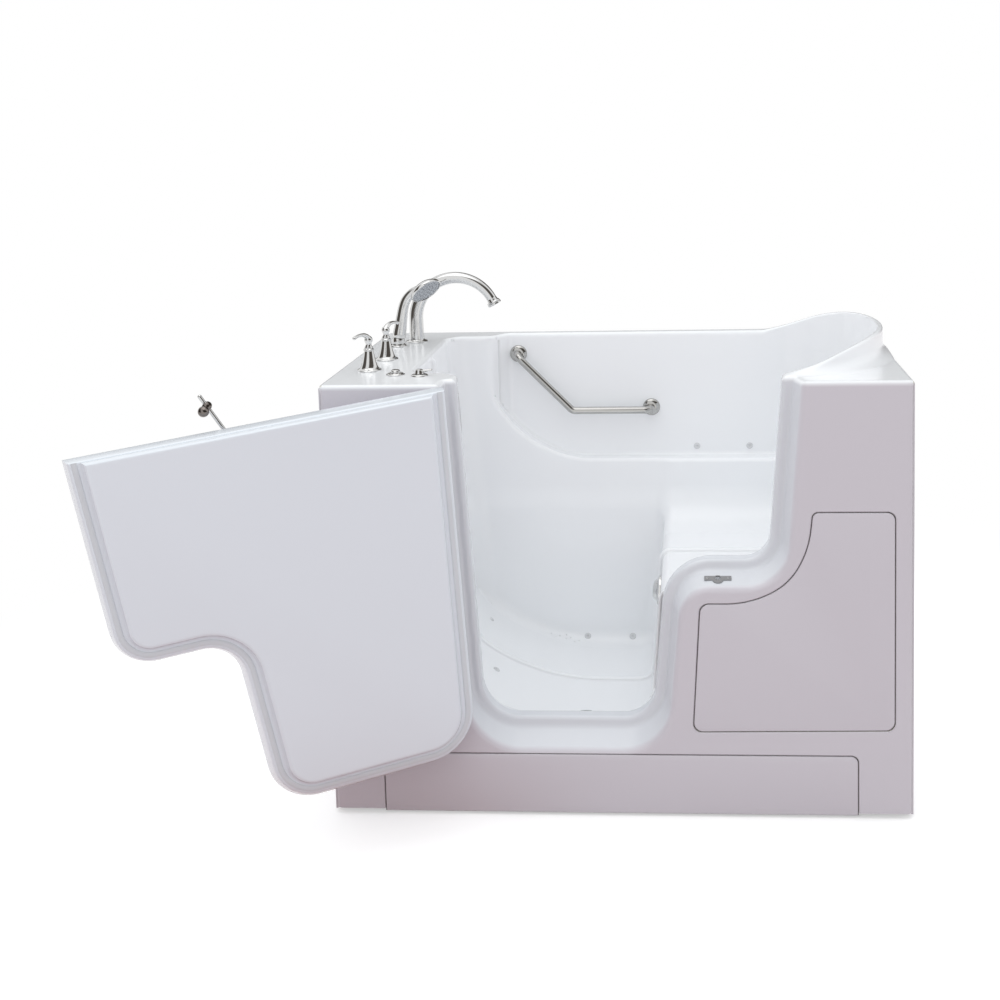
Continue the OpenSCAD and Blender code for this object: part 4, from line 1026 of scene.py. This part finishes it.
powder_coat = plastic("powder_coat", (0.085, 0.09, 0.10), 0.38, 1500.0, 0.35, 0.85)
dress(pipe_white, "air_manifold", "overflow_pipe", "waste_pipe")
dress(plastic("blower_grey", (0.42, 0.43, 0.445), 0.42, 800.0, 0.3), "air_blower")
dress(powder_coat, "blower_plate", "frame_rails", "frame_cross_tubes", "frame_posts")

# ---------------------------------------------------------------- drain and overflow
# A chrome cover hides the overflow in the seat's riser, and a chrome flange with a lift plug
# drains the foot well; white pipes join both below.


def chromed(piece, node, body="tub"):
    """Hands over a polished chrome piece."""
    seated(piece, body, "chrome_fittings", chrome, node)


chromed(round_form("overflow_cover_face", [
    (0, 20), (10, 19.8), (17, 18.8), (21.5, 16.6), (24.5, 13), (26.5, 9.6), (30, 8.4), (34.5, 7.4), (37.4, 5),
    (38, 2.2), (38, 0.1), (0, 0.1)
], on_riser(-60, 428), riser_aim, 48), "overflow_cover")
dress(chrome, "drain_flange", "drain_stopper")

# ---------------------------------------------------------------- spout
# A chrome arch that tapers from its stem to a flared outlet, over a bell-shaped foot. Brass
# and copper join it to the valves under the deck.

SPOUT, ARCH_R, STEM_H, SPOUT_END = (-560.0, 222.0), 110.0, 63.0, math.radians(28)
run = [(SPOUT[0], SPOUT[1], DECK + z) for z in np.linspace(8, STEM_H, 8)[:-1]]
run += [
    (SPOUT[0] + ARCH_R + ARCH_R * math.cos(a), SPOUT[1], DECK + STEM_H + ARCH_R * math.sin(a))
    for a in np.linspace(math.pi, SPOUT_END, 44)
]
run = np.array(run)
far = np.concatenate([[0], np.cumsum(np.linalg.norm(np.diff(run, axis=0), axis=1))])
taper = 20.0 - 6.6 * (far / far[-1]) ** 0.85
chromed(drawn_bar("spout_face", run, taper, 36, (False, False)), "spout")
chromed(round_form("spout_flange_face", [
    (0, 8), (20, 8), (20.6, 6.6), (22, 5), (25, 3.8), (28, 2.9), (29, 2), (29, 0.1), (0, 0.1)
], (*SPOUT, DECK)), "spout_flange")
chromed(round_form("spout_aerator_face", [
    (12, 10), (12, 17.5), (13, 18), (17.8, 18), (19, 16.8), (19, 13.2), (17.8, 12), (16.9, 11.6),
    (17.6, 10.8), (18, 9.4), (17.2, 8), (15.4, 7), (14.2, 4), (13.9, 0), (12.6, -2), (11.8, -2), (11.8, 10)
], tuple(run[-1]), (math.sin(SPOUT_END), 0, -math.cos(SPOUT_END)), 36), "spout_aerator")
brass = metal("cast_brass", (0.62, 0.45, 0.22), 0.28, (1, 1, 1), 0.15, 0.8)
dress(brass, "spout_shank", "deck_nuts", "hot_valve_body", "cold_valve_body")
dress(metal("copper", (0.72, 0.38, 0.22), 0.2, (1, 1, 1), 0.08, 0.75), "mixing_pipes")

# ---------------------------------------------------------------- valves
# Two chrome bells with a curved lever on each; the front lever points away to the left, and
# the rear one to the back.

HOT, COLD, HOT_ANGLE, COLD_ANGLE = (-595.0, -194.0), (-585.0, -47.0), 244, 66
BELL = [
    (7.5, 0.1), (29, 0.1), (29, 2.2), (28, 3.4), (25.2, 4.6), (22.4, 6.2), (20.6, 9), (19, 13.5), (17.2, 19),
    (15.2, 27), (13.3, 36), (11.9, 44), (11.4, 47.5), (12.6, 48.4), (12.8, 50), (12.6, 51.8), (11.2, 53),
    (10, 54), (7.5, 54)
]
bells = [round_form("bell", BELL, (*at, DECK)) for at in (HOT, COLD)]
chromed(gathered("valve_escutcheons_face", *bells), "valve_escutcheons")
for at, angle, tap in ((HOT, HOT_ANGLE, "hot"), (COLD, COLD_ANGLE, "cold")):
    stem = round_form("stem", [
        (0, 84), (4, 83.4), (7.4, 81.4), (9.6, 77.6), (10.2, 73.6), (9.2, 69.6), (7.4, 66.8), (6.9, 63.6),
        (7.4, 60.6), (9.2, 58), (10, 56), (9.6, 54.6), (5.9, 54.6), (5.9, -50), (0, -50)
    ])
    rows = flowing([
        (-3, 0, 74, 7.5), (4, 0, 81, 7.0), (13, 0, 86.5, 5.6), (24, 0, 89, 4.4), (36, 0, 89, 3.8),
        (46, 0, 87.4, 3.9), (52, 0, 85.6, 4.3)
    ], 6)
    lever = gathered(f"{tap}_handle_face", stem, drawn_bar("beak", rows[:, :3], rows[:, 3], 20))
    turned = Matrix.Rotation(math.radians(angle), 4, "Z")
    lever.data.transform(Matrix.Translation(MM * Vector((*at, DECK))) @ turned)
    chromed(lever, f"{tap}_handle", f"{tap}_lever")

# ---------------------------------------------------------------- hand shower
# A chrome wand leans in a holder behind the levers and carries a wide round head, whose grey
# spray face has three rings of rubber nozzles.

SHOWER, SHOWER_TILT = (-598.0, 150.0), math.radians(10)
HEAD_AT = (SHOWER[0] + 78, SHOWER[1], DECK + 152)
spray_lean, spray_turn = math.radians(135.6), math.radians(-35)
level = (math.cos(spray_turn), math.sin(spray_turn))
spray_aim = (math.sin(spray_lean) * level[0], math.sin(spray_lean) * level[1], math.cos(spray_lean))
tilted = (math.sin(SHOWER_TILT), 0, math.cos(SHOWER_TILT))
cup = [(14, 0.1), (24, 0.1), (24, 2), (22.8, 4), (20, 5.4), (17, 6), (14, 6)]
cup = round_form("cup", cup, (*SHOWER, DECK))
sleeve = round_form("sleeve", [
    (12.3, -60), (15, -60), (15, 4), (16, 6), (16, 20.5), (15.2, 22.6), (13.6, 23.6), (12.3, 23.6)
], (*SHOWER, DECK), tilted)
chromed(gathered("shower_holder_face", cup, sleeve), "shower_holder")
spigot = [(0, 30), (12, 30), (12, -29.5), (11, -30), (0, -30)]
spigot = round_form("spigot", spigot, (*SHOWER, DECK), tilted)
rows = flowing([
    (4.35, 24.6, 16.6), (5.6, 32, 17.4), (9, 51, 16.2), (13.4, 76, 14.8), (18.6, 102, 13.5), (27, 124, 12.6),
    (42, 141, 11.8), (58, 149.5, 11.4), (74, 153, 11.0)
], 6)
path = [(SHOWER[0] + x, SHOWER[1], DECK + z) for x, z, _ in rows]
grip = drawn_bar("grip", path, rows[:, 2], 32, (False, False))
chromed(gathered("shower_wand_face", spigot, grip), "shower_wand", "hand_shower")
chromed(round_form("shower_head_face", [
    (0, -15), (10, -14.6), (20, -13), (29, -9.8), (36.5, -5), (41.6, 0), (43.6, 3.4), (44, 5.6), (43.4, 8),
    (42, 9), (40.8, 8.8), (40.2, 7.4), (40, 6.2), (0, 6.2)
], HEAD_AT, spray_aim, 56), "shower_head", "hand_shower")
spray_grey = plastic("spray_grey", (0.42, 0.45, 0.48), 0.35, 700.0, 0.2)
plate = [(0, 8), (34, 8.1), (38.6, 7.7), (39.8, 6.9), (39.8, 6.3), (0, 6.3)]
plate = round_form("plate", plate, HEAD_AT, spray_aim, 48)
side = Vector((math.cos(spray_lean) * level[0], math.cos(spray_lean) * level[1], -math.sin(spray_lean)))
other = Vector(spray_aim).cross(side)
nozzle_spots = []
for count, ring in ((6, 10), (12, 20), (18, 31)):
    for k in range(count):
        turn = 2 * math.pi * k / count
        across = side * math.cos(turn) + other * math.sin(turn)
        spot = Vector(HEAD_AT) + Vector(spray_aim) * 8 + across * ring
        nozzle_spots.append((tuple(spot), spray_aim))
nozzle = [(0, 1.4), (0.7, 1.4), (0.8, 2), (1.2, 1.8), (1.7, 0.2), (1.7, -0.3), (0, -0.3)]
nozzles = repeated("nozzles", round_form("nozzle", nozzle, sides=14), nozzle_spots, spray_grey)
spray = gathered("shower_face_face", plate, nozzles)
seated(spray, "hand_shower", "spray_plastic", spray_grey, "shower_face")

# ---------------------------------------------------------------- air button and drain lever
# Two small chrome fittings stand in front of the levers: a two-tier push button that starts the
# air, and a side lever whose cable lifts the drain plug.

BUTTON, KNOB = (-519.0, -254.0), (-459.0, -268.0)
chromed(round_form("button_housing_face", [
    (11.3, -32.5), (11.3, 4.4), (12, 5), (15, 5), (17.4, 4.4), (18.6, 3), (21, 2.4), (22, 1.6), (22, 0.1),
    (14, 0.1), (14, -36), (11.3, -36)
], (*BUTTON, DECK)), "button_housing")
chromed(round_form("air_button_face", [
    (0, 11.2), (5, 11.3), (8.4, 12), (9.8, 11.4), (10.8, 10.2), (11, 8.4), (11, -12), (0, -12)
], (*BUTTON, DECK)), "air_button", "push_button")
# Painted shade: the spring's steel is striped, with dark bands between its turns for the shade in the gaps
# and paler bands on the wire.
coiled, shader, place = new_material("coiled_steel")
height = place.node("ShaderNodeSeparateXYZ", None, Vector=place)("Z")
coil = (height * 2800.0).maths("SINE") * 0.5 + 0.5
turns_and_gap_shade = coil.mix((0.18, 0.18, 0.18, 1), (0.62, 0.62, 0.63, 1))
feed(shader, Base_Color=turns_and_gap_shade, Metallic=1.0, Roughness=coil * -0.2 + 0.5, Normal=bump(coil, 0.8, 0.001))
dress(coiled, "button_spring")
chromed(round_form("drain_knob_base_face", [
    (5.3, 4), (15, 4), (18, 3.2), (19.4, 2), (20, 0.9), (20, 0.1), (8, 0.1), (8, -36), (5.3, -36)
], (*KNOB, DECK)), "drain_knob_base")
wheel = round_form("wheel", [
    (0, 16.2), (5, 15.8), (8.6, 14.2), (10.2, 11.4), (10.8, 8), (12, 5.6), (11.6, 4.8), (5, 4.6), (5, -38),
    (26, -38), (26, -40), (23.6, -42), (26, -44), (26, -46), (0, -46)
], (*KNOB, DECK))
rows = flowing([(2, 0, 10, 4.2), (12, 0, 11.4, 3.6), (22, 0, 12.6, 3.0), (28, 0, 13, 3.3)], 5)
tail = drawn_bar("tail", rows[:, :3] + np.array((*KNOB, DECK)), rows[:, 3], 18)
chromed(gathered("drain_knob_face", wheel, tail), "drain_knob", "drain_lever")

# ---------------------------------------------------------------- feet
# Five black rubber-soled feet on threaded stems level the tub on its frame; a plain steel nut
# locks each.

dress(plastic("foot_rubber", (0.03, 0.03, 0.033), 0.6, 500.0, 0.4, 0.8), "levelling_feet")
dress(screw_steel, "foot_lock_nuts")
